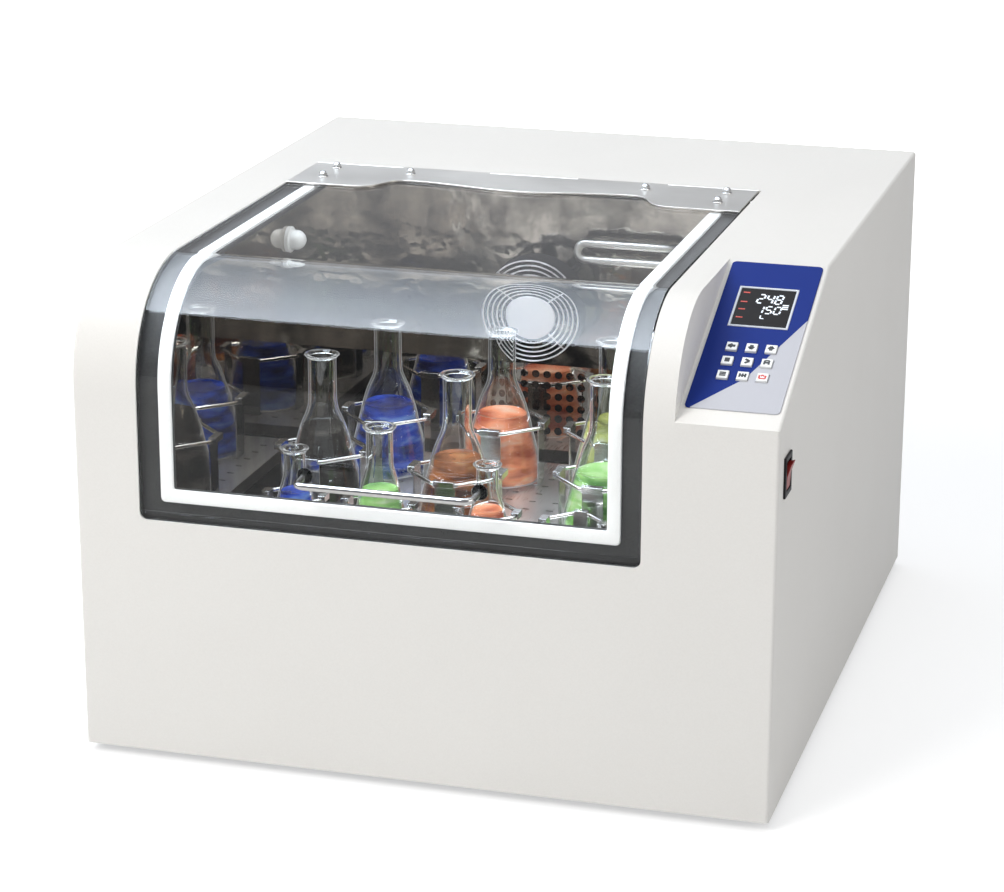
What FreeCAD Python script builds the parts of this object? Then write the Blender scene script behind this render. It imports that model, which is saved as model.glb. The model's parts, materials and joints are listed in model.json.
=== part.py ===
import FreeCAD, Part
import Sketcher
import math
import os

# Incubated benchtop shaker: a cabinet with a curved lid over a chamber, and a platform
# in the chamber that is carried round a small circle by cranks.
# Cabinet frame: X from the left side, Y from the front face, Z from the cabinet's lower edge.
# The finished pieces are moved so that the origin is the centre of the whole footprint,
# at the plane that the feet stand on.

V = FreeCAD.Vector

# Driving dimensions, in millimetres unless the name ends in angle
DIMENSIONS = {
    # cabinet
    "housing_width": 600, "housing_depth": 675, "housing_height": 420, "sheet_wall": 2,
    "front_radius": 97, "edge_radius": 3, "console_width": 85, "console_depth": 202,
    "console_drop": 85, "opening_corner": 7, "pan_rim": 24, "overrun": 5, "bed_gap": 0.3,
    "foot_height": 8, "foot_radius": 19, "foot_inset": 70,
    "louvre_width": 70, "louvre_height": 4, "louvre_pitch": 12, "louvre_drop": 170,
    "louvre_gap": 30, "screw_head": 3.5, "screw_head_height": 1.6, "screw_inset": 12,
    # lid
    "lid_left": 58, "console_gap": 27, "lid_lift": 1, "rear_deck": 223, "lid_thickness": 5,
    "lid_gap": 1.5, "gasket_inset": 16.5, "gasket_band": 11.5, "gasket_thickness": 4,
    "gasket_rise": 14.5, "gasket_setback": 9, "frame_lap": 8, "frame_thickness": 4,
    # hinge
    "plate_thickness": 1.5, "hinge_radius": 3, "hinge_pin_radius": 1.5, "hinge_play": 0.05,
    "hinge_setback": 5.5, "hinge_slack": 0.4, "leaf_thickness": 2.5, "leaf_depth": 22,
    "plate_lobe_depth": 90, "plate_waist_depth": 54, "plate_crown_depth": 69, "lobe_inset": 63,
    "waist_inset": 107, "nut_across": 7, "nut_height": 3, "nut_dome": 3.1,
    "washer_radius": 4.6, "washer_height": 0.8, "nut_outer_inset": 26,
    "nut_inner_inset": 101.5, "nut_front_setback": 60, "nut_back_setback": 20,
    "nut_inner_setback": 26,
    # handle
    "handle_span": 150, "handle_offset": 7, "handle_rise": 51, "handle_standoff": 28,
    "handle_rod": 3, "handle_bend": 9, "handle_washer": 7, "handle_washer_height": 1.5,
    # chamber
    "chamber_inset": 26, "chamber_front": 42, "chamber_setback": 14,
    "chamber_floor": 120, "liner_wall": 1.2, "sill_rise": 14, "insulation": 20,
    "insulation_drop": 42, "liner_inset": 13.6, "shaft_clearance": 2,
    "duct_depth": 46, "duct_gap": 3.5, "grille_offset": 4,
    # fan, heating tube and lamp
    "fan_offset": 17, "fan_drop": 112, "fan_standoff": 52, "fan_radius": 46.5,
    "fan_depth": 26, "fan_wall": 2, "fan_hub": 19, "guard_disc": 24, "guard_wire": 1.6,
    "guard_pitch": 4.5, "fan_clearance": 1.5, "fan_foot": 4, "rotor_bore": 2.5,
    "rotor_depth": 16, "blade_thickness": 1.6,
    "tube_radius": 4, "tube_clearance": 45, "tube_inset": 38, "tube_drop": 53,
    "tube_gap": 16, "tube_standoff": 22, "tube_bend": 12,
    "lamp_setback": 138, "lamp_drop": 40, "lamp_radius": 9, "lamp_base": 12,
    "lamp_base_height": 4, "lamp_reach": 17,
    # console
    "overlay_inset": 3.5, "overlay_margin": 4.5, "overlay_rise": 19.5, "overlay_length": 195,
    "overlay_thickness": 1.2, "overlay_corner": 4, "screen_inset": 13, "screen_width": 50,
    "screen_rise": 126.5, "screen_length": 54, "screen_frame": 2, "screen_proud": 0.6,
    "key_inset": 22.6, "key_pitch_across": 16.2, "key_rise": 61.9, "key_pitch_along": 18.4,
    "key_width": 9.2, "key_length": 10, "key_height": 3, "key_flange": 1, "key_flange_height": 1,
    "key_play": 0.3, "key_stem": 1.4, "board_depth": 9, "board_thickness": 1.6,
    "board_post": 3,
    # rocker switch
    "rocker_back": 32, "rocker_drop": 45, "bezel_width": 26, "bezel_height": 34,
    "bezel_proud": 2, "bezel_box_depth": 22, "bezel_box_wall": 1.5, "bezel_rim": 3.2,
    "rocker_reach": 5.5, "rocker_ridge": 2.2, "rocker_foot": 1.4, "rocker_play": 0.4,
    "rocker_drum": 9,
    # rear inlet
    "inlet_inset": 130, "inlet_level": 60, "inlet_width": 50, "inlet_height": 27,
    "inlet_proud": 3, "inlet_depth": 24, "socket_width": 25, "socket_height": 17,
    "socket_depth": 17, "pin_width": 2, "pin_height": 4, "pin_pitch": 7, "pin_reach": 13,
    # drive
    "eccentric": 10, "shaft_radius": 6, "crank_edge": 33, "idler_edge": 53, "idler_inset": 30,
    "pin_radius": 5, "running_play": 0.05, "web_radius": 19, "web_height": 5,
    "web_level": 125, "shaft_foot": 22, "deck_level": 50, "deck_thickness": 6,
    "deck_margin": 50, "deck_front_margin": 70, "deck_rear_margin": 65,
    "deck_post": 9, "bearing_radius": 17, "bearing_height": 38, "driven_radius": 60,
    "motor_pulley_radius": 15, "pulley_level": 24, "pulley_height": 14, "pulley_rim": 1.5,
    "belt_thickness": 3, "belt_width": 10, "belt_play": 0.3, "motor_setback": 215,
    "motor_radius": 38, "motor_height": 80, "motor_shaft": 4, "weight_radius": 50,
    "weight_height": 8, "weight_angle": 150,
    # platform
    "tray_level": 168, "tray_gap": 6, "tray_side_gap": 4, "tray_rear_gap": 10, "tray_wall": 1.5,
    "tray_flange": 10, "tray_corner": 10, "slot_length": 6, "slot_width": 2.6,
    "slot_side_margin": 40, "slot_end_margin": 6, "carrier_side_inset": 44, "carrier_end_inset": 39,
    "carrier_thickness": 5, "carrier_gap": 1.5, "carrier_bearing_height": 12,
    "carrier_post": 7, "carrier_window": 30,
    # clamps and flasks
    "clamp_sheet": 1.4, "clamp_wire": 2, "clamp_play": 0.3,
    "large_height": 142, "large_neck": 12.5, "large_ring_height": 56,
    "middle_height": 112, "middle_neck": 11.5, "middle_ring_height": 45,
    "small_height": 80, "small_neck": 9.5, "small_ring_height": 38,
    "flask_seat": 0.3, "flask_foot_round": 2.5, "flask_lip": 3, "flask_lip_height": 4,
}
LOUVRE_ROWS = 6
KNUCKLE_COUNT = 5
GUARD_RINGS = 5
RING_SIDES = 20
TUBE_SIDES = 8
BEND_STEPS = 4
WIRE_SIDES = 6
FLASK_SIDES = 16
BOSS_SIDES = 8
GUARD_SPOKES = 2
FRAME_STRUTS = 3
FRAME_LEGS = 4
BLADE_COUNT = 7
GRILLE_COLUMNS = 9
GRILLE_ROWS = 6
SLOT_COLUMNS = 7
SLOT_ROWS = 7
KEY_GRID = 3

# The grille's pitch as a share of the duct's height; its holes and plain top as shares of the pitch
GRILLE_PITCH_SHARE = 0.0797
GRILLE_HOLE_SHARE = 0.345
GRILLE_TOP_SHARE = 0.91
# Size of the tray in radii of a large clamp's ring, and each other kind of ring in the same unit
RINGS_ACROSS_SHARE = 8.766
RINGS_DEEP_SHARE = 7.909
MIDDLE_RING_SHARE = 0.748
SMALL_RING_SHARE = 0.647
# Width of a clamp's arms as a share of its ring's radius
ARM_WIDTH_SHARE = 0.47
# Where the clamps stand, in radii of a large ring: to the right of and behind the tray's centre
LARGE_PLACE_SHARES = ((-2.718, 2.373), (0, 2.451), (2.647, 2.317), (-3.252, -0.68), (0.096, -1.385),
                      (3.252, -0.854))
MIDDLE_PLACE_SHARES = ((-1.103, -3.149),)
SMALL_PLACE_SHARES = ((-3.2, -2.698), (1.134, -2.594))
EMPTY_PLACE_SHARES = ((3.094, -2.792),)
# Height of the foot of a flask's neck, as a share of the flask's height
FLASK_SHOULDER_SHARE = 0.68
# Length of the hinge plate's S bend as a share of the way from its waist to its lobe
PLATE_BEND_SHARE = 0.5
# Distance across a hexagon's flats as a share of its corner radius
HEXAGON_SHARE = math.sqrt(3)
# Depth of the blades' twist, as a share of the rotor's depth
BLADE_LEAN_SHARE = 0.9

# Sizes that follow from the driving ones, as formulas in the same spreadsheet
RELATIONS = {
    "console_left": "housing_width - console_width",
    "lid_width": "console_left - console_gap - lid_left",
    "lid_bottom": "housing_height / 2 + lid_lift",
    "lid_rear": "housing_depth - rear_deck",
    "louvre_level": "housing_height - louvre_drop",
    "lobe_reach": "lid_width / 2 - lobe_inset",
    "waist_reach": "lid_width / 2 - waist_inset",
    "nut_outer_reach": "lid_width / 2 - nut_outer_inset",
    "nut_inner_reach": "lid_width / 2 - nut_inner_inset",
    "handle_left": "lid_left + (lid_width - handle_span) / 2 + handle_offset",
    "handle_level": "lid_bottom + handle_rise",
    "chamber_left": "lid_left + chamber_inset",
    "chamber_width": "lid_width - 2 * chamber_inset",
    "chamber_rear": "lid_rear - chamber_setback",
    "sill_level": "lid_bottom + sill_rise",
    "insulation_top": "housing_height - insulation_drop",
    "fan_across": "chamber_left + chamber_width / 2 + fan_offset",
    "fan_level": "housing_height - fan_drop",
    "duct_top": "fan_level - fan_radius - duct_gap",
    "grille_pitch": f"(duct_top - chamber_floor) * {GRILLE_PITCH_SHARE}",
    "grille_hole": f"grille_pitch * {GRILLE_HOLE_SHARE}",
    "grille_left": f"fan_across + grille_offset - grille_pitch * {(GRILLE_COLUMNS - 1) / 2}",
    "grille_level": f"duct_top - grille_pitch * {GRILLE_ROWS - 1 + GRILLE_TOP_SHARE}",
    "tube_left": "fan_across + tube_clearance",
    "tube_right": "chamber_left + chamber_width - tube_inset",
    "tube_high": "housing_height - tube_drop",
    "tube_low": "tube_high - tube_gap",
    "lamp_back": "chamber_rear - lamp_setback",
    "lamp_level": "housing_height - lamp_drop",
    "overlay_left": "console_left + overlay_inset",
    "overlay_width": "console_width - overlay_inset - overlay_margin",
    "screen_left": "overlay_left + screen_inset",
    "key_left": "overlay_left + key_inset",
    "rocker_level": "housing_height - console_drop - rocker_drop",
    "inlet_across": "housing_width - inlet_inset",
    "tray_width": "chamber_width - 2 * eccentric - tray_gap - tray_side_gap",
    "tray_depth": "chamber_rear - duct_depth - chamber_front - 2 * eccentric - tray_gap - tray_rear_gap",
    "slot_pitch_across": f"(tray_width - slot_side_margin) / {SLOT_COLUMNS}",
    "slot_pitch_back": f"(tray_depth - slot_end_margin) / {SLOT_ROWS}",
    "tray_middle": "chamber_front + tray_gap + eccentric + tray_depth / 2",
    "carrier_width": "tray_width - 2 * carrier_side_inset",
    "carrier_depth": "tray_depth - 2 * carrier_end_inset",
    "crank_across": "chamber_left + tray_gap + eccentric + tray_width / 2",
    "crank_back": "tray_middle + carrier_depth / 2 - crank_edge",
    "idler_reach": "carrier_width / 2 - idler_inset",
    "idler_back": "tray_middle - carrier_depth / 2 + idler_edge",
    "motor_back": "crank_back + motor_setback",
    "deck_left": "crank_across - idler_reach - deck_margin",
    "deck_right": "crank_across + idler_reach + deck_margin",
    "deck_front": "idler_back - deck_front_margin",
    "deck_back": "motor_back + deck_rear_margin",
    "large_ring": f"min(tray_width / {RINGS_ACROSS_SHARE}; tray_depth / {RINGS_DEEP_SHARE})",
    "middle_ring": f"large_ring * {MIDDLE_RING_SHARE}",
    "small_ring": f"large_ring * {SMALL_RING_SHARE}",
}

doc = FreeCAD.newDocument("shaker")
sheet = doc.addObject("Spreadsheet::Sheet", "dims")
entries = [(alias, str(value)) for alias, value in DIMENSIONS.items()]
entries += [(alias, "=" + formula) for alias, formula in RELATIONS.items()]
for row, (alias, content) in enumerate(entries, 1):
    sheet.set(f"A{row}", alias)
    sheet.set(f"B{row}", content)
    sheet.setAlias(f"B{row}", alias)
doc.recompute()


class Size:
    """A length that knows its value and the spreadsheet expression that gives it."""

    def __init__(self, value, text):
        self.value = float(value)
        self.text = text

    def join(self, other, sign, value):
        return Size(value, f"({self.text} {sign} {as_size(other).text})")

    def __add__(self, other):
        return self.join(other, "+", self.value + float(other))

    def __sub__(self, other):
        return self.join(other, "-", self.value - float(other))

    def __mul__(self, other):
        return self.join(other, "*", self.value * float(other))

    def __truediv__(self, other):
        return self.join(other, "/", self.value / float(other))

    def __radd__(self, other):
        return as_size(other) + self

    def __rsub__(self, other):
        return as_size(other) - self

    def __rmul__(self, other):
        return as_size(other) * self

    def __neg__(self):
        return Size(-self.value, f"(0 - {self.text})")

    def __float__(self):
        return self.value


def as_size(number):
    return number if isinstance(number, Size) else Size(number, repr(float(number)))


class Dims:
    """Reads a driving dimension from the spreadsheet by its alias."""

    def __getattr__(self, alias):
        return Size(sheet.get(alias), f"dims.{alias}")


d = Dims()


# Places that many pieces share
lid_right = d.lid_left + d.lid_width
lid_middle = d.lid_left + d.lid_width / 2
chamber_right = d.chamber_left + d.chamber_width
hinge_back = d.lid_rear + d.hinge_setback
hinge_level = d.housing_height + d.plate_thickness - d.hinge_radius
opening_rear = hinge_back + d.hinge_radius + d.lid_gap
frame_inset = d.lid_thickness + d.gasket_thickness + d.bed_gap
tray_across = d.crank_across + d.eccentric
tray_left = tray_across - d.tray_width / 2
tray_front = d.tray_middle - d.tray_depth / 2
carrier_top = d.tray_level - d.tray_wall - d.tray_flange - d.carrier_gap
slope_angle = Size(
    math.degrees(math.atan2(float(d.console_drop), float(d.console_depth))),
    "atan(dims.console_drop / dims.console_depth)",
)
datum = (
    -(d.housing_width + d.rocker_reach) / 2,
    -(d.housing_depth + d.inlet_proud - d.handle_standoff - d.handle_rod) / 2,
    d.foot_height,
)
idler_places = [
    (d.crank_across - d.idler_reach, d.idler_back),
    (d.crank_across + d.idler_reach, d.idler_back),
]
crank_places = [(d.crank_across, d.crank_back)] + idler_places

finished = []


def bind(obj, prop, size):
    obj.setExpression(prop, as_size(size).text)


def place(obj, at, axis=None, angle=0):
    """Binds an object's Placement to sizes: its base point, and a turn about an axis."""
    if axis is not None:
        obj.Placement = FreeCAD.Placement(V(), FreeCAD.Rotation(V(*axis), float(angle)))
        bind(obj, "Placement.Rotation.Angle", angle)
    for letter, size in zip("xyz", at):
        bind(obj, f"Placement.Base.{letter}", size)


def add(kind, name):
    return doc.addObject(kind, name)


def box(name, low, high):
    """A box between two opposite corners."""
    obj = add("Part::Box", name)
    for prop, a, b in zip(("Length", "Width", "Height"), low, high):
        bind(obj, prop, as_size(b) - a)
    place(obj, low)
    return obj


AXIS_TURNS = {"X": ((0, 1, 0), 90), "Y": ((1, 0, 0), -90), "Z": (None, 0)}


def cylinder(name, radius, height, at, axis="Z"):
    obj = add("Part::Cylinder", name)
    bind(obj, "Radius", radius)
    bind(obj, "Height", height)
    place(obj, at, *AXIS_TURNS[axis])
    return obj


def cone(name, low_radius, high_radius, height, at, axis="Z"):
    obj = add("Part::Cone", name)
    bind(obj, "Radius1", low_radius)
    bind(obj, "Radius2", high_radius)
    bind(obj, "Height", height)
    place(obj, at, *AXIS_TURNS[axis])
    return obj


def prism(name, sides, radius, height, at, axis="Z"):
    """An upright prism with equal sides; the radius reaches its corners."""
    obj = add("Part::Prism", name)
    obj.Polygon = sides
    bind(obj, "Circumradius", radius)
    bind(obj, "Height", height)
    place(obj, at, *AXIS_TURNS[axis])
    return obj


def cut(name, base, tools):
    obj = add("Part::Cut", name)
    obj.Base = base
    obj.Tool = tools[0] if len(tools) == 1 else fuse(name + "_tools", tools)
    return obj


def fuse(name, shapes):
    obj = add("Part::MultiFuse", name)
    obj.Shapes = shapes
    return obj


def group(name, links):
    """Several separate solids that make one sub-part."""
    obj = add("Part::Compound", name)
    obj.Links = links
    return obj


def shape_feature(name, shape):
    """A sub-part whose shape is worked out from the sheet by this file's own functions."""
    obj = add("Part::Feature", name)
    obj.Shape = Part.makeCompound([shape])
    return obj


def many_sided(sides, radius, centre):
    """A closed polygon with equal sides, in the XY plane."""
    corners = []
    for i in range(sides):
        turn = 2 * math.pi * i / sides
        corners.append(centre + V(radius * math.cos(turn), radius * math.sin(turn), 0))
    return Part.makePolygon(corners + corners[:1])


def skinned(loops):
    """A solid with flat faces between loops that have the same number of points."""
    faces = []
    for low, high in zip(loops, loops[1:]):
        for i in range(len(low)):
            j = (i + 1) % len(low)
            faces.append(Part.Face(Part.makePolygon([low[i], low[j], high[j], high[i], low[i]])))
    for loop in (loops[0], loops[-1]):
        faces.append(Part.Face(Part.makePolygon(loop + loop[:1])))
    return Part.Solid(Part.Shell(faces))


def turned(profile, sides):
    """A solid of (radius, height) pairs round Z, with flat sides."""
    turns = [2 * math.pi * i / sides for i in range(sides)]
    return skinned([[V(radius * math.cos(t), radius * math.sin(t), height) for t in turns]
                    for radius, height in profile])


def bent_rod(points, radius, sides):
    """A rod with flat sides, mitred at each point of its path."""
    along = (points[1] - points[0]).normalize()
    across = along.cross(V(0, 0, 1)).normalize()
    upward = along.cross(across)
    turns = [2 * math.pi * i / sides for i in range(sides)]
    loops = [[points[0] + across * radius * math.cos(t) + upward * radius * math.sin(t) for t in turns]]
    for i, point in enumerate(points[1:], 1):
        along = (point - points[i - 1]).normalize()
        ahead = (points[i + 1] - point).normalize() if i + 1 < len(points) else along
        mitre = (along + ahead).normalize()
        loops.append([corner + along * ((point - corner).dot(mitre) / along.dot(mitre))
                      for corner in loops[-1]])
    return skinned(loops)


def bend(centre, first, last, steps):
    """Points on the arc from centre + first to centre + last, a quarter turn apart."""
    turns = [math.pi / 2 * i / steps for i in range(steps + 1)]
    return [centre + first * math.cos(t) + last * math.sin(t) for t in turns]


def finish(obj, label, at=(0, 0, 0), axis=None, angle=0):
    """Names a sub-part and moves it from the cabinet frame to the part's frame."""
    if obj.TypeId in ("Part::Box", "Part::Cylinder", "Part::Cone", "Part::Prism"):
        obj = group(label + "_set", [obj])
    place(obj, [a + b for a, b in zip(datum, at)], axis, angle)
    obj.Label = label
    finished.append(obj)
    return obj


# Sketches and bodies

def new_body(name):
    return add("PartDesign::Body", name)


def new_sketch(body, name, plane="XY", offset=0):
    """A sketch on one of the body's own origin planes, moved along its normal."""
    sketch = body.newObject("Sketcher::SketchObject", name)
    role = plane + "_Plane"
    support = [f for f in body.Origin.OriginFeatures if f.Role == role][0]
    sketch.AttachmentSupport = [(support, "")]
    sketch.MapMode = "FlatFace"
    bind(sketch, "AttachmentOffset.Base.z", offset)
    return sketch


def fix_point(sketch, index, position, u, v):
    for kind, size in (("DistanceX", u), ("DistanceY", v)):
        size = as_size(size)
        number = sketch.addConstraint(
            Sketcher.Constraint(kind, -1, 1, index, position, size.value))
        bind(sketch, f"Constraints[{number}]", size)


START, END = 1, 2
OTHER_END = {START: END, END: START}


def arc_between(start, end, centre, turn):
    first = math.atan2(start.y - centre.y, start.x - centre.x)
    last = math.atan2(end.y - centre.y, end.x - centre.x)
    circle = Part.Circle(centre, V(0, 0, 1), (start - centre).Length)
    return Part.ArcOfCircle(circle, first, last) if turn > 0 else Part.ArcOfCircle(circle, last, first)


def outline(sketch, corners):
    """A closed loop. A corner is (u, v), or (u, v, cu, cv, turn) where the edge that
    leaves it is an arc about (cu, cv), turning left for 1 and right for -1."""
    base = sketch.GeometryCount
    count = len(corners)
    points = [V(float(c[0]), float(c[1]), 0) for c in corners]
    starts = []
    for i, corner in enumerate(corners):
        after = points[(i + 1) % count]
        if len(corner) == 2:
            sketch.addGeometry(Part.LineSegment(points[i], after))
            starts.append(START)
        else:
            centre = V(float(corner[2]), float(corner[3]), 0)
            sketch.addGeometry(arc_between(points[i], after, centre, corner[4]))
            starts.append(START if corner[4] > 0 else END)
    for i in range(count):
        j = (i + 1) % count
        sketch.addConstraint(
            Sketcher.Constraint("Coincident", base + i, OTHER_END[starts[i]], base + j, starts[j]))
    for i, corner in enumerate(corners):
        fix_point(sketch, base + i, starts[i], corner[0], corner[1])
        if len(corner) > 2:
            size = as_size(corner[2])
            number = sketch.addConstraint(
                Sketcher.Constraint("DistanceX", -1, 1, base + i, 3, size.value))
            bind(sketch, f"Constraints[{number}]", size)


def rectangle(sketch, low, high):
    outline(sketch, [(low[0], low[1]), (high[0], low[1]), (high[0], high[1]), (low[0], high[1])])


def circle(sketch, u, v, radius):
    index = sketch.addGeometry(Part.Circle(V(float(u), float(v), 0), V(0, 0, 1), float(radius)))
    fix_point(sketch, index, 3, u, v)
    number = sketch.addConstraint(Sketcher.Constraint("Radius", index, float(radius)))
    bind(sketch, f"Constraints[{number}]", radius)


def pad(body, sketch, length, name="pad"):
    feature = body.newObject("PartDesign::Pad", name)
    feature.Profile = sketch
    bind(feature, "Length", length)
    return feature


def pocket(body, sketch, length, name="pocket"):
    """A cut that runs along the sketch's normal."""
    feature = body.newObject("PartDesign::Pocket", name)
    feature.Profile = sketch
    feature.Reversed = True
    bind(feature, "Length", length)
    return feature


def edges_where(shape, test):
    """Names of the edges whose bounding box meets a test."""
    return [f"Edge{i}" for i, edge in enumerate(shape.Edges, 1) if test(edge.BoundBox)]


def fillet(body, base, radius, test, name="rounding"):
    doc.recompute()
    feature = body.newObject("PartDesign::Fillet", name)
    feature.Base = (base, edges_where(base.Shape, test))
    bind(feature, "Radius", radius)
    return feature


NEAR = 0.01


def at_level(low, high, level):
    """True where a range is a single value, the level given."""
    return abs(low - float(level)) < NEAR and abs(high - float(level)) < NEAR


# Outlines that the cabinet's curved pieces share

def rounded_side(inset, rear, bottom):
    """Side view of a solid that follows the cabinet's front and top, inset all along."""
    top = d.housing_height - inset
    return [
        (inset, bottom),
        (rear, bottom),
        (rear, top),
        (d.front_radius, top, d.front_radius, d.housing_height - d.front_radius, 1),
        (inset, d.housing_height - d.front_radius),
    ]


def curved_band(inset, thickness, rear, bottom):
    """Side view of a sheet that follows the cabinet's front and top."""
    top = d.housing_height - inset
    bend = d.housing_height - d.front_radius
    deep = inset + thickness
    return [
        (inset, bottom),
        (deep, bottom),
        (deep, bend, d.front_radius, bend, -1),
        (d.front_radius, top - thickness),
        (rear, top - thickness),
        (rear, top),
        (d.front_radius, top, d.front_radius, bend, 1),
        (inset, bend),
    ]


def curved_sheet(name, left, width, inset, thickness, rear, bottom):
    body = new_body(name)
    side = new_sketch(body, name + "_side", "YZ", left)
    outline(side, curved_band(inset, thickness, rear, bottom))
    return body, pad(body, side, width, name + "_sheet")


# Cabinet

def sloped_side(inset, rear, bottom):
    """Side view of the console's part of the cabinet, its slope inset like the rest."""
    run = d.console_depth
    lean = Size(math.hypot(float(run), float(d.console_drop)),
                "sqrt(dims.console_depth ^ 2 + dims.console_drop ^ 2)")
    top = d.housing_height - inset
    front_top = d.housing_height - d.console_drop - inset * (lean - d.console_drop) / run
    back_top = run + inset * (lean - run) / d.console_drop
    return [(inset, bottom), (rear, bottom), (rear, top), (back_top, top), (inset, front_top)]


def housing_shell():
    """The folded and welded sheet cabinet, open below and behind."""
    body = new_body("housing_body")
    wall = d.sheet_wall
    side = new_sketch(body, "side_outline", "YZ")
    outline(side, rounded_side(as_size(0), d.housing_depth, 0))
    pad(body, side, d.console_left, "main_block")
    console = new_sketch(body, "console_outline", "YZ", d.console_left)
    outline(console, sloped_side(as_size(0), d.housing_depth, 0))
    block = pad(body, console, d.housing_width - d.console_left, "console_block")

    def outer_edge(b):
        on_side = at_level(b.XMin, b.XMax, 0) or at_level(b.XMin, b.XMax, d.housing_width)
        return on_side and not at_level(b.ZMin, b.ZMax, 0) and not at_level(b.YMin, b.YMax, d.housing_depth)

    fillet(body, block, d.edge_radius, outer_edge, "outer_rounding")
    inner = new_sketch(body, "inner_outline", "YZ", wall)
    outline(inner, rounded_side(wall, d.housing_depth + d.overrun, -d.overrun))
    pocket(body, inner, d.console_left - 2 * wall, "main_hollow")
    inner_console = new_sketch(body, "inner_console_outline", "YZ", d.console_left - wall)
    outline(inner_console, sloped_side(wall, d.housing_depth + d.overrun, -d.overrun))
    pocket(body, inner_console, d.housing_width - d.console_left, "console_hollow")
    window = new_sketch(body, "window_outline", "YZ", d.lid_left - d.lid_gap)
    rectangle(window, (-d.overrun, d.lid_bottom - d.lid_gap),
              (opening_rear, d.housing_height + d.overrun))
    opening = pocket(body, window, d.lid_width + 2 * d.lid_gap, "lid_opening")

    def lower_corner(b):
        level = float(d.lid_bottom - d.lid_gap)
        return at_level(b.ZMin, b.ZMax, level) and b.YMax < float(wall) + NEAR and b.XLength < NEAR

    fillet(body, opening, d.opening_corner, lower_corner, "opening_rounding")
    slope_tools = group("console_cuts", [
        box("display_cut", (d.screen_left - d.key_play, d.screen_rise - d.key_play, -d.overrun),
            (d.screen_left + d.screen_width + d.key_play,
             d.screen_rise + d.screen_length + d.key_play, d.overrun)),
        box("key_cut", (d.key_left - d.key_width, d.key_rise - d.key_length, -d.overrun),
            (d.key_left + 2 * d.key_pitch_across + d.key_width,
             d.key_rise + 2 * d.key_pitch_along + d.key_length, d.overrun)),
    ])
    place(slope_tools, (0, 0, d.housing_height - d.console_drop), (1, 0, 0), slope_angle)
    half_width = d.bezel_width / 2 - d.bezel_rim
    half_height = d.bezel_height / 2 - d.bezel_rim
    switch_hole = box(
        "switch_hole",
        (d.housing_width - d.overrun, d.rocker_back - half_width, d.rocker_level - half_height),
        (d.housing_width + d.overrun, d.rocker_back + half_width, d.rocker_level + half_height))
    finish(cut("housing", body, [slope_tools, switch_hole]), "housing_shell")


def base_pan():
    low = (d.sheet_wall, d.sheet_wall, 0)
    high = (d.housing_width - d.sheet_wall, d.housing_depth - d.sheet_wall, d.pan_rim)
    inner_low = [size + d.sheet_wall for size in low]
    inner_high = (high[0] - d.sheet_wall, high[1] - d.sheet_wall, d.pan_rim + d.overrun)
    finish(cut("pan", box("pan_block", low, high), [box("pan_hollow", inner_low, inner_high)]),
           "base_pan")


def rear_panel():
    """Closes the back: rows of vent slots in two columns, and the inlet's hole."""
    inner = d.housing_depth - d.sheet_wall
    body = new_body("rear_body")
    face = new_sketch(body, "rear_outline", "XZ", -d.housing_depth)
    rectangle(face, (d.sheet_wall, 0),
              (d.housing_width - d.sheet_wall, d.housing_height - d.sheet_wall))
    middle = d.housing_width / 2
    for row in range(LOUVRE_ROWS):
        level = d.louvre_level + row * d.louvre_pitch
        for start in (middle - d.louvre_gap / 2 - d.louvre_width, middle + d.louvre_gap / 2):
            rectangle(face, (start, level), (start + d.louvre_width, level + d.louvre_height))
    rectangle(face, (d.inlet_across - d.socket_width / 2 - d.sheet_wall - d.key_play,
                     d.inlet_level - d.socket_height / 2 - d.sheet_wall - d.key_play),
              (d.inlet_across + d.socket_width / 2 + d.sheet_wall + d.key_play,
               d.inlet_level + d.socket_height / 2 + d.sheet_wall + d.key_play))
    pad(body, face, d.housing_depth - inner, "rear_sheet")
    finish(body, "rear_panel")


def rear_screws():
    heads = []
    for across in (d.screw_inset, d.housing_width / 2, d.housing_width - d.screw_inset):
        for level in (d.screw_inset, d.housing_height - d.screw_inset - d.sheet_wall):
            heads.append(prism(f"rear_screw_{len(heads)}", WIRE_SIDES, d.screw_head, d.screw_head_height,
                               (across, d.housing_depth, level), "Y"))
    finish(group("rear_screw_set", heads), "panel_screws")


def feet():
    pads = []
    for across in (d.foot_inset, d.housing_width - d.foot_inset):
        for back in (d.foot_inset, d.housing_depth - d.foot_inset):
            pads.append(prism(f"foot_{len(pads)}", RING_SIDES, d.foot_radius, d.foot_height,
                              (across, back, -d.foot_height)))
    finish(group("foot_set", pads), "rubber_feet")


# Lid, its seat and its hinge

def seat_frame():
    """The rebated frame in the window cut-out that the lid closes onto."""
    inset = d.sheet_wall + d.bed_gap
    left = d.lid_left - d.lid_gap - d.frame_lap
    width = d.lid_width + 2 * (d.lid_gap + d.frame_lap)
    depth = frame_inset + d.frame_thickness - inset
    body, _ = curved_sheet("frame_body", left, width, inset, depth,
                           opening_rear, d.lid_bottom - d.lid_gap - d.frame_lap)
    rebate = new_sketch(body, "rebate_outline", "YZ", d.lid_left - d.lid_gap)
    outline(rebate, curved_band(as_size(0), frame_inset, opening_rear + d.overrun,
                                d.lid_bottom - d.lid_gap))
    pocket(body, rebate, d.lid_width + 2 * d.lid_gap, "rebate")
    window_cut(body, frame_inset + d.frame_thickness + d.overrun)
    finish(body, "lid_seat_frame")


def window_cut(body, reach):
    """Cuts the window that the gasket and the frame leave open."""
    inset = d.gasket_inset + d.gasket_band
    window = new_sketch(body, body.Name + "_window", "YZ", d.lid_left + inset)
    rectangle(window, (-d.overrun, d.lid_bottom + d.gasket_rise + d.gasket_band),
              (d.lid_rear - d.gasket_setback - d.gasket_band, d.housing_height + d.overrun))
    pocket(body, window, d.lid_width - 2 * inset, "window")


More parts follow.
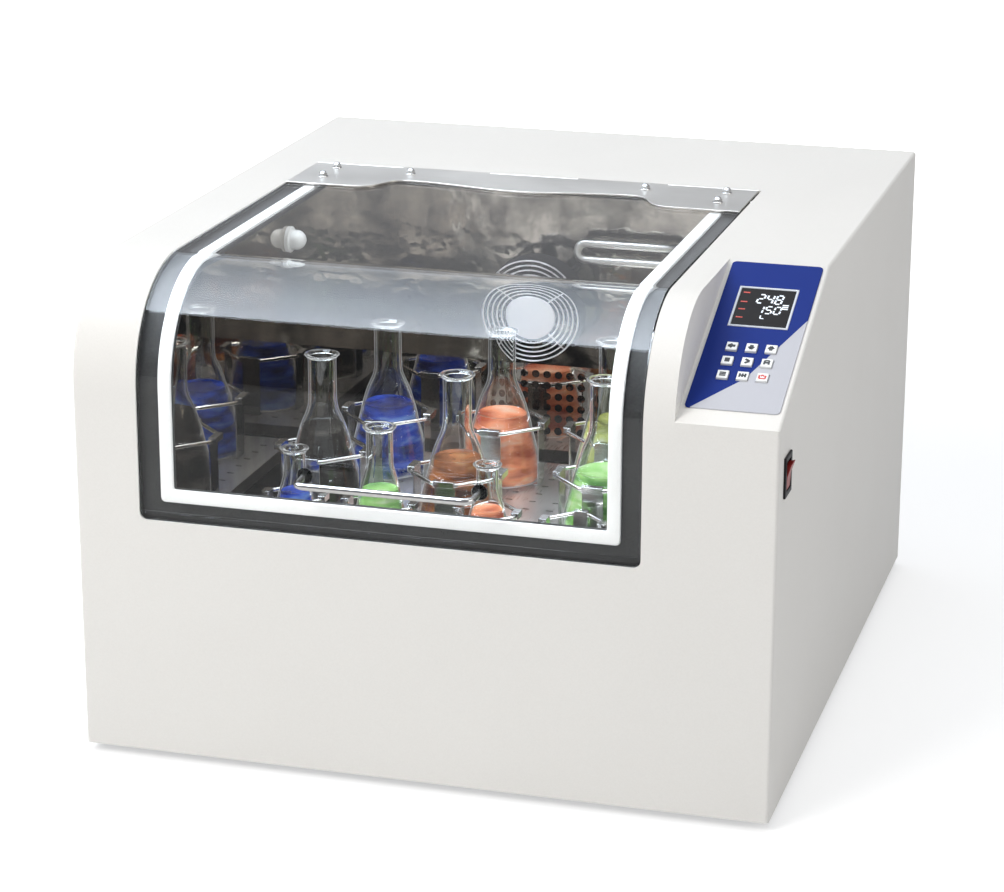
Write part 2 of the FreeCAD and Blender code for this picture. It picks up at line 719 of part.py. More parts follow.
def lid_window():
    body, sheet_pad = curved_sheet("window_body", d.lid_left, d.lid_width, as_size(0),
                                   d.lid_thickness, d.lid_rear, d.lid_bottom)

    def lower_corner(b):
        return at_level(b.ZMin, b.ZMax, d.lid_bottom) and b.XLength < NEAR

    fillet(body, sheet_pad, d.opening_corner - d.lid_gap, lower_corner, "corner_rounding")
    finish(body, "lid_window")


def lid_gasket():
    body, _ = curved_sheet("gasket_body", d.lid_left + d.gasket_inset,
                           d.lid_width - 2 * d.gasket_inset, d.lid_thickness,
                           d.gasket_thickness, d.lid_rear - d.gasket_setback,
                           d.lid_bottom + d.gasket_rise)
    window_cut(body, d.overrun)
    finish(body, "lid_gasket")


def knuckle_spans():
    """Start and end of each hinge knuckle along the plate, with the slack taken out."""
    step = d.lid_width / KNUCKLE_COUNT
    return [(d.lid_left + i * step + d.hinge_slack / 2, d.lid_left + (i + 1) * step - d.hinge_slack / 2)
            for i in range(KNUCKLE_COUNT)]


def knuckle(name, start, end):
    at = (start, hinge_back, hinge_level)
    bore = d.hinge_pin_radius + d.hinge_play
    long_bore = cylinder(name + "_bore", bore, end - start + 2 * d.overrun,
                         (start - d.overrun, hinge_back, hinge_level), "X")
    return cylinder(name, d.hinge_radius, end - start, at, "X"), long_bore


def plate_edge():
    """The wavy front edge of the hinge plate, from its middle to its right end."""
    middle = float(lid_middle)
    back = float(hinge_back)
    lobe = back - float(d.plate_lobe_depth)
    waist = back - float(d.plate_waist_depth)
    crown = back - float(d.plate_crown_depth)
    waist_x = float(d.waist_reach)
    lobe_x = float(d.lobe_reach)
    bend = (lobe_x - waist_x) * PLATE_BEND_SHARE
    curve = Part.BSplineCurve()
    curve.interpolate(
        [V(middle - lobe_x, lobe, 0), V(middle - waist_x, waist, 0), V(middle, crown, 0),
         V(middle + waist_x, waist, 0), V(middle + lobe_x, lobe, 0)],
        Tangents=[V(bend, 0, 0), V(bend, 0, 0), V(waist_x, 0, 0), V(bend, 0, 0), V(bend, 0, 0)],
        TangentFlags=[True] * 5)
    return curve.toShape()


def hinge_plate():
    """The stainless plate on the lid, with its rolled knuckles."""
    edge = plate_edge()
    start, end = edge.Vertexes[0].Point, edge.Vertexes[-1].Point
    rear = float(hinge_back - d.hinge_radius - d.hinge_slack)
    corners = [end, V(float(lid_right), end.y, 0), V(float(lid_right), rear, 0),
               V(float(d.lid_left), rear, 0), V(float(d.lid_left), start.y, 0), start]
    lines = [Part.makeLine(a, b) for a, b in zip(corners, corners[1:])]
    face = Part.Face(Part.Wire([edge] + lines))
    face.translate(V(0, 0, float(d.housing_height)))
    leaf = shape_feature("plate_sheet", face.extrude(V(0, 0, float(d.plate_thickness))))
    pieces = [leaf]
    bores = []
    for i, (first, last) in enumerate(knuckle_spans()):
        if i % 2 == 1:
            barrel, bore = knuckle(f"plate_knuckle_{i}", first, last)
            tab = box(f"plate_tab_{i}", (first, hinge_back - d.hinge_radius - d.overrun, d.housing_height),
                      (last, hinge_back, d.housing_height + d.plate_thickness))
            pieces += [barrel, tab]
            bores.append(bore)
    finish(cut("plate", fuse("plate_pieces", pieces), bores), "hinge_plate")


def hinge_leaf():
    """The fixed leaf, screwed up under the cabinet's top, with its own knuckles."""
    top = hinge_level - d.hinge_radius + d.leaf_thickness
    leaf = box("leaf_sheet", (d.lid_left, hinge_back + d.hinge_radius + d.hinge_slack, top - d.leaf_thickness),
               (lid_right, hinge_back + d.leaf_depth, top))
    pieces = [leaf]
    bores = []
    for i, (first, last) in enumerate(knuckle_spans()):
        if i % 2 == 0:
            barrel, bore = knuckle(f"leaf_knuckle_{i}", first, last)
            tab = box(f"leaf_tab_{i}", (first, hinge_back, top - d.leaf_thickness),
                      (last, hinge_back + d.hinge_radius + d.overrun, top - d.leaf_thickness / 2))
            pieces += [barrel, tab]
            bores.append(bore)
    finish(cut("leaf", fuse("leaf_pieces", pieces), bores), "hinge_leaf")


def hinge_pin():
    finish(cylinder("pin_rod", d.hinge_pin_radius, d.lid_width,
                    (d.lid_left, hinge_back, hinge_level), "X"), "hinge_pin")


def nut_places():
    places = []
    for side in (-1, 1):
        places.append((lid_middle + side * d.nut_outer_reach, hinge_back - d.nut_front_setback))
        places.append((lid_middle + side * d.nut_outer_reach, hinge_back - d.nut_back_setback))
        places.append((lid_middle + side * d.nut_inner_reach, hinge_back - d.nut_inner_setback))
    return places


def dome_nuts():
    base = d.housing_height + d.plate_thickness
    pieces = []
    for i, (across, back) in enumerate(nut_places()):
        washer = prism(f"washer_{i}", 2 * WIRE_SIDES, d.washer_radius, d.washer_height, (across, back, base))
        seat = base + d.washer_height
        hexagon = prism(f"hexagon_{i}", WIRE_SIDES, d.nut_across / HEXAGON_SHARE, d.nut_height, (across, back, seat))
        dome = prism(f"dome_{i}", BOSS_SIDES, d.nut_dome, d.nut_dome / 2, (across, back, seat + d.nut_height))
        pieces.append(fuse(f"dome_nut_{i}", [washer, hexagon, dome]))
    finish(group("nut_set", pieces), "dome_nuts")


def lid_handle():
    """A round bar bent to a U, seated on the lid on two washers."""
    body = new_body("handle_body")
    path = new_sketch(body, "handle_path", "XY")
    bend = d.handle_bend
    far = d.handle_span
    out = d.handle_standoff
    foot = d.handle_washer_height
    points = [(as_size(0), foot), (as_size(0), out - bend), (bend, out), (far - bend, out),
              (far, out - bend), (far, foot)]
    spots = [V(float(u), float(v), 0) for u, v in points]
    centres = {1: V(float(bend), float(out - bend), 0), 3: V(float(far - bend), float(out - bend), 0)}
    starts = []
    for i in range(len(points) - 1):
        if i in centres:
            path.addGeometry(arc_between(spots[i], spots[i + 1], centres[i], -1))
            starts.append(END)
        else:
            path.addGeometry(Part.LineSegment(spots[i], spots[i + 1]))
            starts.append(START)
    for i in range(len(starts) - 1):
        path.addConstraint(Sketcher.Constraint("Coincident", i, OTHER_END[starts[i]], i + 1, starts[i + 1]))
    for i, start in enumerate(starts):
        fix_point(path, i, start, *points[i])
    fix_point(path, len(starts) - 1, END, *points[-1])
    for i in centres:
        size = bend if i == 1 else far - bend
        number = path.addConstraint(Sketcher.Constraint("DistanceX", -1, 1, i, 3, float(size)))
        bind(path, f"Constraints[{number}]", size)
    section = new_sketch(body, "rod_section", "XZ", -foot)
    circle(section, 0, 0, d.handle_rod)
    pipe = body.newObject("PartDesign::AdditivePipe", "rod")
    pipe.Profile = section
    pipe.Spine = (path, [])
    finish(body, "lid_handle", (d.handle_left + d.handle_span, 0, d.handle_level), (0, 0, 1), 180)


def handle_washers():
    discs = []
    for across in (d.handle_left, d.handle_left + d.handle_span):
        discs.append(prism(f"handle_washer_{len(discs)}", RING_SIDES, d.handle_washer,
                           d.handle_washer_height, (across, -d.handle_washer_height, d.handle_level), "Y"))
    finish(group("washer_set", discs), "handle_washers")


# Chamber

def liner_sides():
    """Both side walls of the chamber, cut to the lid's curve and to the front sill."""
    inset = d.liner_inset
    top = d.housing_height - inset
    bend = d.housing_height - d.front_radius
    walls = []
    for start in (d.chamber_left - d.liner_wall, chamber_right):
        body = new_body(f"liner_side_{len(walls)}")
        side = new_sketch(body, f"liner_outline_{len(walls)}", "YZ", start)
        outline(side, [
            (d.chamber_front, d.chamber_floor), (d.chamber_rear, d.chamber_floor),
            (d.chamber_rear, top), (d.front_radius, top, d.front_radius, bend, 1),
            (inset, bend), (inset, d.sill_level), (d.chamber_front, d.sill_level)])
        pad(body, side, d.liner_wall)
        walls.append(body)
    finish(group("side_walls", walls), "liner_sides")


def liner_front():
    wall = d.liner_wall
    upright = box("front_wall", (d.chamber_left, d.chamber_front - wall, d.chamber_floor),
                  (chamber_right, d.chamber_front, d.sill_level))
    sill = box("front_sill", (d.chamber_left, d.liner_inset, d.sill_level - wall),
               (chamber_right, d.chamber_front, d.sill_level))
    finish(fuse("front_liner", [upright, sill]), "liner_front")


def liner_rear():
    finish(box("rear_wall", (d.chamber_left - d.liner_wall, d.chamber_rear, d.chamber_floor),
               (chamber_right + d.liner_wall, d.chamber_rear + d.liner_wall,
                d.housing_height - d.liner_inset)), "liner_rear")


def chamber_floor():
    """The floor pan, with a hole round each crank's shaft."""
    wall = d.liner_wall
    plate = box("floor_sheet", (d.chamber_left - wall, d.chamber_front - wall, d.chamber_floor - wall),
                (chamber_right + wall, d.chamber_rear + wall, d.chamber_floor))
    holes = [prism(f"floor_hole_{i}", BOSS_SIDES, d.shaft_radius + 2 * d.shaft_clearance, 2 * d.overrun + wall,
                      (across, back, d.chamber_floor - wall - d.overrun))
             for i, (across, back) in enumerate(crank_places)]
    finish(cut("floor", plate, holes), "chamber_floor")


def insulation():
    """Foam slabs against the left, right, rear and front walls and under the floor."""
    wall = d.liner_wall
    deep = d.insulation
    floor = d.chamber_floor
    slabs = []
    for i, low_x in enumerate((d.chamber_left - wall - deep, chamber_right + wall)):
        slabs.append(box(f"side_foam_{i}", (low_x, d.chamber_front, floor),
                         (low_x + deep, d.chamber_rear, d.insulation_top)))
    slabs.append(box("rear_foam", (d.chamber_left, d.chamber_rear + wall, floor),
                     (chamber_right, d.chamber_rear + wall + deep, d.insulation_top)))
    slabs.append(box("front_foam", (d.chamber_left, d.chamber_front - wall - deep, floor),
                     (chamber_right, d.chamber_front - wall, d.sill_level - wall - d.bed_gap)))
    under = box("floor_foam", (d.chamber_left, d.chamber_front, floor - wall - deep),
                (chamber_right, d.chamber_rear, floor - wall))
    holes = [prism(f"foam_hole_{i}", BOSS_SIDES, d.bearing_radius + d.shaft_clearance, deep + 2 * d.overrun,
                      (across, back, floor - wall - deep - d.overrun))
             for i, (across, back) in enumerate(crank_places)]
    finish(group("foam_set", slabs + [cut("floor_foam_cut", under, holes)]), "insulation_slabs")


def holed_plate(length, width, thickness, holes):
    """A flat plate from its lower left corner, with closed wires as its holes."""
    rim = Part.makePolygon([V(0, 0, 0), V(length, 0, 0), V(length, width, 0), V(0, width, 0), V(0, 0, 0)])
    face = Part.makeFace([rim] + holes, "Part::FaceMakerBullseye")
    return face.extrude(V(0, 0, thickness))


def rounded_wire(x1, y1, x2, y2, radius):
    """A closed rectangle with round corners, in the XY plane."""
    far = radius * (1 - math.sqrt(0.5))
    edges = [
        Part.makeLine(V(x1 + radius, y1, 0), V(x2 - radius, y1, 0)),
        Part.Arc(V(x2 - radius, y1, 0), V(x2 - far, y1 + far, 0), V(x2, y1 + radius, 0)).toShape(),
        Part.makeLine(V(x2, y1 + radius, 0), V(x2, y2 - radius, 0)),
        Part.Arc(V(x2, y2 - radius, 0), V(x2 - far, y2 - far, 0), V(x2 - radius, y2, 0)).toShape(),
        Part.makeLine(V(x2 - radius, y2, 0), V(x1 + radius, y2, 0)),
        Part.Arc(V(x1 + radius, y2, 0), V(x1 + far, y2 - far, 0), V(x1, y2 - radius, 0)).toShape(),
        Part.makeLine(V(x1, y2 - radius, 0), V(x1, y1 + radius, 0)),
        Part.Arc(V(x1, y1 + radius, 0), V(x1 + far, y1 + far, 0), V(x1 + radius, y1, 0)).toShape(),
    ]
    return Part.Wire(edges)


def air_duct():
    """The box along the lower back: a perforated front and a flat top."""
    wall = float(d.liner_wall)
    gap = float(d.bed_gap)
    left = float(d.chamber_left) + gap
    length = float(d.chamber_width) - 2 * gap
    height = float(d.duct_top - d.chamber_floor)
    holes = []
    for column in range(GRILLE_COLUMNS):
        for line in range(GRILLE_ROWS):
            x = float(d.grille_left + column * d.grille_pitch) - left
            y = float(d.grille_level + line * d.grille_pitch - d.chamber_floor)
            holes.append(many_sided(WIRE_SIDES, float(d.grille_hole), V(x, y, 0)))
    front = holed_plate(length, height, wall, holes)
    front.rotate(V(), V(1, 0, 0), 90)
    front.translate(V(left, float(d.chamber_rear - d.duct_depth) + wall, float(d.chamber_floor)))
    panel = shape_feature("duct_front", front)
    top = box("duct_top_sheet", (d.chamber_left + d.bed_gap, d.chamber_rear - d.duct_depth, d.duct_top - d.liner_wall),
              (chamber_right - d.bed_gap, d.chamber_rear, d.duct_top))
    finish(fuse("duct", [panel, top]), "air_duct")


# Fan, heating tube and lamp

def along_y(shape, at):
    """Turns a shape that was drawn up Z to run back along Y, and moves it."""
    shape.rotate(V(), V(1, 0, 0), -90)
    shape.translate(at)
    return shape


def flat_ring(outer, inner, depth, at):
    wires = [many_sided(RING_SIDES, size, V()) for size in (outer, inner)]
    return along_y(Part.makeFace(wires, "Part::FaceMakerBullseye").extrude(V(0, 0, depth)), at)


def flat_disc(radius, depth, at):
    return along_y(Part.Face(many_sided(RING_SIDES, radius, V())).extrude(V(0, 0, depth)), at)


def fan_guard():
    """Concentric rings and a centre disc, tied by crossed spokes behind them."""
    wire = float(d.guard_wire)
    front = float(d.chamber_rear - d.fan_standoff)
    centre = V(float(d.fan_across), front, float(d.fan_level))
    shape = flat_disc(float(d.guard_disc), wire, centre)
    spokes = []
    reach = float(d.fan_radius)
    for i in range(GUARD_SPOKES):
        spoke = Part.makeBox(wire, wire, 2 * reach - 2 * wire, V(-wire / 2, wire, wire - reach))
        spoke.rotate(V(), V(0, 1, 0), 180 * (i + 0.5) / GUARD_SPOKES)
        spoke.translate(centre)
        spokes.append(spoke)
    sizes = [float(d.fan_radius - i * d.guard_pitch) for i in range(GUARD_RINGS)]
    rings = [flat_ring(size, size - wire, wire, centre) for size in sizes]
    finish(shape_feature("guard", shape.multiFuse(spokes + rings).removeSplitter()), "fan_guard")


def fan_frame():
    """The round frame with its hub and three struts, on four legs from the rear wall."""
    front = float(d.chamber_rear - d.fan_standoff + 2 * d.guard_wire)
    centre = V(float(d.fan_across), front, float(d.fan_level))
    depth = float(d.fan_depth)
    radius = float(d.fan_radius)
    wall = float(d.fan_wall)
    shell = flat_ring(radius, radius - wall, depth, centre)
    hub_depth = depth - float(d.rotor_depth + d.fan_clearance)
    hub = flat_disc(float(d.fan_hub), hub_depth, centre + V(0, depth - hub_depth, 0))
    shaft = Part.makeCylinder(float(d.rotor_bore - d.running_play), depth - wall,
                              centre + V(0, wall, 0), V(0, 1, 0))
    parts = [hub, shaft]
    for i in range(FRAME_STRUTS):
        strut = Part.makeBox(radius - wall, wall, wall, V(0, depth - wall, -wall / 2))
        strut.rotate(V(), V(0, 1, 0), 360 * i / FRAME_STRUTS)
        strut.translate(centre)
        parts.append(strut)
    leg_length = float(d.fan_standoff - 2 * d.guard_wire - d.fan_depth)
    for i in range(FRAME_LEGS):
        turn = 2 * math.pi * (i + 0.5) / FRAME_LEGS
        reach = radius - float(d.fan_foot) / 2
        spot = centre + V(reach * math.cos(turn), depth, reach * math.sin(turn))
        half = float(d.fan_foot) / 2
        parts.append(Part.makeBox(2 * half, leg_length, 2 * half, spot - V(half, 0, half)))
    finish(shape_feature("frame", shell.multiFuse(parts).removeSplitter()), "fan_frame")


def fan_rotor():
    """A cup hub with leaning blades, turning on the frame's shaft."""
    front = float(d.chamber_rear - d.fan_standoff + 2 * d.guard_wire + d.fan_wall)
    centre = V(float(d.fan_across), front, float(d.fan_level))
    depth = float(d.rotor_depth - d.fan_wall)
    tip = float(d.fan_radius - d.fan_wall - d.fan_clearance)
    hub = flat_disc(float(d.fan_hub), depth, V())
    blades = []
    lean = depth * BLADE_LEAN_SHARE / 2
    thin = float(d.blade_thickness)
    for i in range(BLADE_COUNT):
        foot = float(d.fan_hub - d.fan_wall)
        root = Part.makePolygon([V(foot, y, z) for y, z in (
            (0, -lean), (thin, -lean), (depth, lean), (depth - thin, lean), (0, -lean))])
        blade = Part.Face(root).extrude(V(tip - foot - thin, 0, 0))
        blade.rotate(V(), V(0, 1, 0), 360 * i / BLADE_COUNT)
        blades.append(blade)
    shape = hub.multiFuse(blades)
    bore = Part.makeCylinder(float(d.rotor_bore), depth, V(), V(0, 1, 0))
    shape = shape.cut(bore).removeSplitter()
    shape.translate(centre)
    finish(shape_feature("rotor", shape), "fan_rotor")


def heating_tube():
    """A hairpin: both ends come out of the rear wall, the bend is at the left."""
    back = float(d.chamber_rear)
    y = back - float(d.tube_standoff)
    high, low = float(d.tube_high), float(d.tube_low)
    left, right = float(d.tube_left), float(d.tube_right)
    corner = float(d.tube_bend)
    half = (high - low) / 2
    to_right, to_back, upward = V(corner, 0, 0), V(0, -corner, 0), V(0, 0, half)
    path = [V(right, back, high)]
    path += bend(V(right - corner, y + corner, high), to_right, to_back, BEND_STEPS)
    path += bend(V(left, y, low + half), upward, V(-half, 0, 0), BEND_STEPS)
    path += bend(V(left, y, low + half), V(-half, 0, 0), -upward, BEND_STEPS)[1:]
    path += bend(V(right - corner, y + corner, low), to_back, to_right, BEND_STEPS)
    path.append(V(right, back, low))
    tube = bent_rod(path, float(d.tube_radius), TUBE_SIDES)
    finish(shape_feature("tube", tube), "heating_tube")


def chamber_lamp():
    """A white dome on a round base, on the left wall near the top."""
    base, radius, reach = float(d.lamp_base), float(d.lamp_radius), float(d.lamp_reach)
    collar = float(d.lamp_base_height)
    lamp = turned([(base, 0), (base, collar), (radius, collar), (radius, reach - radius / 2),
                   (radius * math.sqrt(0.5), reach - radius / 6), (radius / 3, reach)], FLASK_SIDES)
    lamp.rotate(V(), V(0, 1, 0), 90)
    lamp.translate(V(float(d.chamber_left), float(d.lamp_back), float(d.lamp_level)))
    finish(shape_feature("lamp", lamp), "chamber_lamp")


# Console: pieces are drawn flat, then tipped onto the slope

def finish_on_slope(obj, label):
    finish(obj, label, (0, 0, d.housing_height - d.console_drop), (1, 0, 0), slope_angle)


def key_corner(column, line):
    """Lower left corner of a key's cap on the slope; lines count down from the display."""
    return (d.key_left + column * d.key_pitch_across - d.key_width / 2,
            d.key_rise + (KEY_GRID - 1 - line) * d.key_pitch_along - d.key_length / 2)


def control_overlay():
    body = new_body("overlay_body")
    face = new_sketch(body, "overlay_outline", "XY")
    low = (d.overlay_left, d.overlay_rise)
    high = (d.overlay_left + d.overlay_width, d.overlay_rise + d.overlay_length)
    r = d.overlay_corner
    outline(face, [
        (low[0] + r, low[1]), (high[0] - r, low[1], high[0] - r, low[1] + r, 1),
        (high[0], low[1] + r), (high[0], high[1] - r, high[0] - r, high[1] - r, 1),
        (high[0] - r, high[1]), (low[0] + r, high[1], low[0] + r, high[1] - r, 1),
        (low[0], high[1] - r), (low[0], low[1] + r, low[0] + r, low[1] + r, 1)])
    rectangle(face, (d.screen_left, d.screen_rise),
              (d.screen_left + d.screen_width, d.screen_rise + d.screen_length))
    for line in range(KEY_GRID):
        for column in range(KEY_GRID):
            x, y = key_corner(column, line)
            rectangle(face, (x - d.key_play, y - d.key_play),
                      (x + d.key_width + d.key_play, y + d.key_length + d.key_play))
    pad(body, face, d.overlay_thickness, "overlay_sheet")
    finish_on_slope(body, "control_overlay")


def display():
    """A raised frame in the overlay's window, and the dark screen inside it."""
    low = (d.screen_left, d.screen_rise)
    high = (d.screen_left + d.screen_width, d.screen_rise + d.screen_length)
    inner_low = [size + d.screen_frame for size in low]
    inner_high = [size - d.screen_frame for size in high]
    proud = d.overlay_thickness + d.screen_proud
    rim = box("display_rim", (*low, -d.sheet_wall), (*high, proud))
    hole = box("display_hole", (*inner_low, -d.sheet_wall - d.overrun), (*inner_high, proud + d.overrun))
    finish_on_slope(cut("display_ring", rim, [hole]), "display_frame")
    finish_on_slope(box("screen", (*inner_low, -d.sheet_wall), (*inner_high, d.overlay_thickness)),
                    "display_screen")


def keys():
    """Each key is a cap on a wider flange that the overlay holds in."""
    for line in range(KEY_GRID):
        for column in range(KEY_GRID):
            number = line * KEY_GRID + column + 1
            x, y = key_corner(column, line)
            cap = box(f"key_cap_{number}", (x, y, -d.key_stem), (x + d.key_width, y + d.key_length, d.key_height))
            flange = box(f"key_flange_{number}",
                         (x - d.key_flange, y - d.key_flange, -d.key_stem - d.key_flange_height),
                         (x + d.key_width + d.key_flange, y + d.key_length + d.key_flange, -d.key_stem))
            finish_on_slope(fuse(f"key_pieces_{number}", [cap, flange]), f"key_{number}")


def control_board():
    """The circuit board under the slope, on four posts."""
    low = (d.overlay_left + d.board_post, d.overlay_rise + 2 * d.board_post)
    high = (d.overlay_left + d.overlay_width - 2 * d.board_post,
            d.overlay_rise + d.overlay_length - d.board_post)
    plate = box("board_plate", (*low, -d.board_depth - d.board_thickness), (*high, -d.board_depth))
    posts = []
    for x in (low[0] + d.board_post, high[0] - d.board_post):
        for y in (low[1] + d.board_post, high[1] - d.board_post):
            posts.append(prism(f"board_post_{len(posts)}", WIRE_SIDES, d.board_post,
                               d.board_depth - d.sheet_wall, (x, y, -d.board_depth)))
    finish_on_slope(fuse("board", [plate] + posts), "control_board")


# Rocker switch

def rocker_bezel():
    """A rim on the cabinet's side and an open box behind it for the button."""
    back, level, side = d.rocker_back, d.rocker_level, d.housing_width
    half_width, half_height = d.bezel_width / 2, d.bezel_height / 2
    rim = box("bezel_rim_block", (side, back - half_width, level - half_height),
              (side + d.bezel_proud, back + half_width, level + half_height))
    inner_w, inner_h = half_width - d.bezel_rim, half_height - d.bezel_rim
    case = box("bezel_case", (side - d.bezel_box_depth, back - inner_w, level - inner_h),
               (side, back + inner_w, level + inner_h))
    wall = d.bezel_box_wall
    hollow = box("bezel_hollow",
                 (side - d.bezel_box_depth + wall, back - inner_w + wall, level - inner_h + wall),
                 (side + d.bezel_proud + d.overrun, back + inner_w - wall, level + inner_h - wall))
    finish(cut("bezel", fuse("bezel_pieces", [rim, case]), [hollow]), "rocker_bezel")


def rocker_button():
    """Rests tipped, its upper end out. Two flat faces meet at a ridge, over a round drum."""
    side = d.housing_width
    level = d.rocker_level
    half = d.bezel_height / 2 - d.bezel_rim - d.bezel_box_wall - d.rocker_play
    width = d.bezel_width / 2 - d.bezel_rim - d.bezel_box_wall - d.rocker_play
    body = new_body("rocker_body")
    face = new_sketch(body, "rocker_side", "XZ", -d.rocker_back - width)
    drum = d.rocker_drum
    tip = Size(math.sqrt(float(half) ** 2 - float(d.rocker_reach) ** 2),
               f"sqrt({half.text} ^ 2 - {d.rocker_reach.text} ^ 2)")
    outline(face, [
        (side + d.rocker_foot, level - half), (side + d.rocker_ridge, level),
        (side + d.rocker_reach, level + tip), (side, level + drum, side, level, 1),
        (side, level - drum)])
    pad(body, face, 2 * width, "rocker_block")
    finish(body, "rocker_button")


# Rear inlet

def power_inlet():
    """A flanged socket in the rear panel with three flat pins."""
    x, z, y = d.inlet_across, d.inlet_level, d.housing_depth
    flange = box("inlet_flange", (x - d.inlet_width / 2, y, z - d.inlet_height / 2),
                 (x + d.inlet_width / 2, y + d.inlet_proud, z + d.inlet_height / 2))
    wall = d.sheet_wall
    case = box("inlet_case", (x - d.socket_width / 2 - wall, y - d.inlet_depth, z - d.socket_height / 2 - wall),
               (x + d.socket_width / 2 + wall, y, z + d.socket_height / 2 + wall))
    hollow = box("inlet_hollow", (x - d.socket_width / 2, y + d.inlet_proud - d.socket_depth, z - d.socket_height / 2),
                 (x + d.socket_width / 2, y + d.inlet_proud + d.overrun, z + d.socket_height / 2))
    shell = cut("inlet_shell", fuse("inlet_pieces", [flange, case]), [hollow])
    pins = []
    foot = y + d.inlet_proud - d.socket_depth - wall / 2
    for across, rise in ((-1, 0), (0, 1), (1, 0)):
        px = x + across * d.pin_pitch
        pz = z + rise * d.pin_height / 2
        pins.append(box(f"inlet_pin_{len(pins)}", (px - d.pin_width / 2, foot, pz - d.pin_height / 2),
                        (px + d.pin_width / 2, foot + d.pin_reach, pz + d.pin_height / 2)))
    finish(fuse("inlet", [shell] + pins), "power_inlet")


# Drive

def drive_deck():
    """The plate that carries the crank bearings and the motor, on six posts."""
    left, right, front, back = d.deck_left, d.deck_right, d.deck_front, d.deck_back
    body = new_body("deck_body")
    face = new_sketch(body, "deck_outline", "XY", d.deck_level)
    rectangle(face, (left, front), (right, back))
    for across, depth in crank_places:
        circle(face, across, depth, d.shaft_radius + d.shaft_clearance)
    circle(face, d.crank_across, d.motor_back, d.motor_shaft + d.shaft_clearance)
    pad(body, face, d.deck_thickness, "deck_plate")
    posts = []
    inset = 2 * d.deck_post
    for x in (left + inset, right - inset):
        for y in (front + inset, (front + back) / 2, back - inset):
            posts.append(prism(f"deck_post_{len(posts)}", WIRE_SIDES, d.deck_post,
                               d.deck_level - d.sheet_wall, (x, y, d.sheet_wall)))
    finish(fuse("deck", [body] + posts), "drive_deck")


def bored_boss(name, radius, bore, height, at):
    outer = prism(name + "_boss", BOSS_SIDES, radius, height, at)
    hole = cylinder(name + "_bore", bore, height + 2 * d.overrun, (at[0], at[1], at[2] - d.overrun))
    return cut(name, outer, [hole])


def crank_bearings():
    housings = [bored_boss(f"crank_bearing_{i}", d.bearing_radius, d.shaft_radius + d.running_play,
                           d.bearing_height, (across, back, d.deck_level + d.deck_thickness))
                for i, (across, back) in enumerate(crank_places)]
    finish(group("crank_bearing_set", housings), "crank_bearings")


def crank_pieces(name, across, back, foot):
    """Shaft, web and eccentric pin. The pin stands to the right at rest."""
    pin_top = carrier_top - d.carrier_thickness / 2
    web_low = d.web_level
    shaft = cylinder(name + "_shaft", d.shaft_radius, web_low - foot, (across, back, foot))
    shoulder = prism(name + "_shoulder", RING_SIDES, d.web_radius - d.eccentric / 2, d.web_height,
                     (across + d.eccentric / 2, back, web_low))
    pin = cylinder(name + "_pin", d.pin_radius, pin_top - web_low - d.web_height,
                   (across + d.eccentric, back, web_low + d.web_height))
    return [shaft, shoulder, pin]


def main_crank():
    finish(fuse("main_crank_pieces", crank_pieces("main", d.crank_across, d.crank_back, d.shaft_foot)),
           "main_crank")


def idler_cranks():
    foot = d.deck_level + d.deck_thickness - d.shaft_clearance
    for i, (across, back) in enumerate(idler_places, 1):
        finish(fuse(f"idler_pieces_{i}", crank_pieces(f"idler_{i}", across, back, foot)),
               f"idler_crank_{i}")


def pulley(name, radius, across, back, flanges):
    """A belt pulley; a small one has a flange on each side to keep the belt on."""
    level = d.pulley_level
    side = (d.pulley_height - d.belt_width) / 2 - d.belt_play
    pieces = [cylinder(name + "_rim", radius, d.pulley_height, (across, back, level))]
    if flanges:
        for low in (level, level + d.pulley_height - side):
            pieces.append(prism(f"{name}_flange_{len(pieces)}", RING_SIDES, radius + d.pulley_rim, side,
                                (across, back, low)))
    return pieces


def driven_pulley():
    rim = pulley("driven", d.driven_radius, d.crank_across, d.crank_back, False)
    bore = cylinder("driven_bore", d.shaft_radius + d.running_play, d.pulley_height + 2 * d.overrun,
                    (d.crank_across, d.crank_back, d.pulley_level - d.overrun))
    finish(cut("driven_wheel", rim[0], [bore]), "driven_pulley")


def counterweight():
    """A sector on the pulley, opposite the eccentric pin."""
    disc = add("Part::Cylinder", "weight_sector")
    bind(disc, "Radius", d.weight_radius)
    bind(disc, "Height", d.weight_height)
    bind(disc, "Angle", d.weight_angle)
    level = d.pulley_level + d.pulley_height
    place(disc, (d.crank_across, d.crank_back, level), (0, 0, 1), 180 - d.weight_angle / 2)
    hole = cylinder("weight_bore", d.shaft_radius + d.running_play, d.weight_height + 2 * d.overrun,
                    (d.crank_across, d.crank_back, level - d.overrun))
    finish(cut("weight", disc, [hole]), "counterweight")


def motor():
    top = d.deck_level + d.deck_thickness
    can = prism("motor_can", RING_SIDES, d.motor_radius, d.motor_height, (d.crank_across, d.motor_back, top))
    cap = prism("motor_cap", RING_SIDES, d.motor_radius / 2, d.bearing_radius / 2,
                (d.crank_across, d.motor_back, top + d.motor_height))
    bore = cylinder("motor_bore", d.motor_shaft + d.running_play, d.motor_height,
                    (d.crank_across, d.motor_back, top - d.overrun))
    finish(cut("motor_case", fuse("motor_pieces", [can, cap]), [bore]), "motor_body")


def motor_pulley():
    shaft = cylinder("motor_shaft_rod", d.motor_shaft, d.deck_level + d.deck_thickness
                     + d.motor_height / 2 - d.pulley_level,
                     (d.crank_across, d.motor_back, d.pulley_level))
    wheel = pulley("motor_wheel", d.motor_pulley_radius, d.crank_across, d.motor_back, True)
    finish(fuse("motor_rotor", wheel + [shaft]), "motor_pulley")


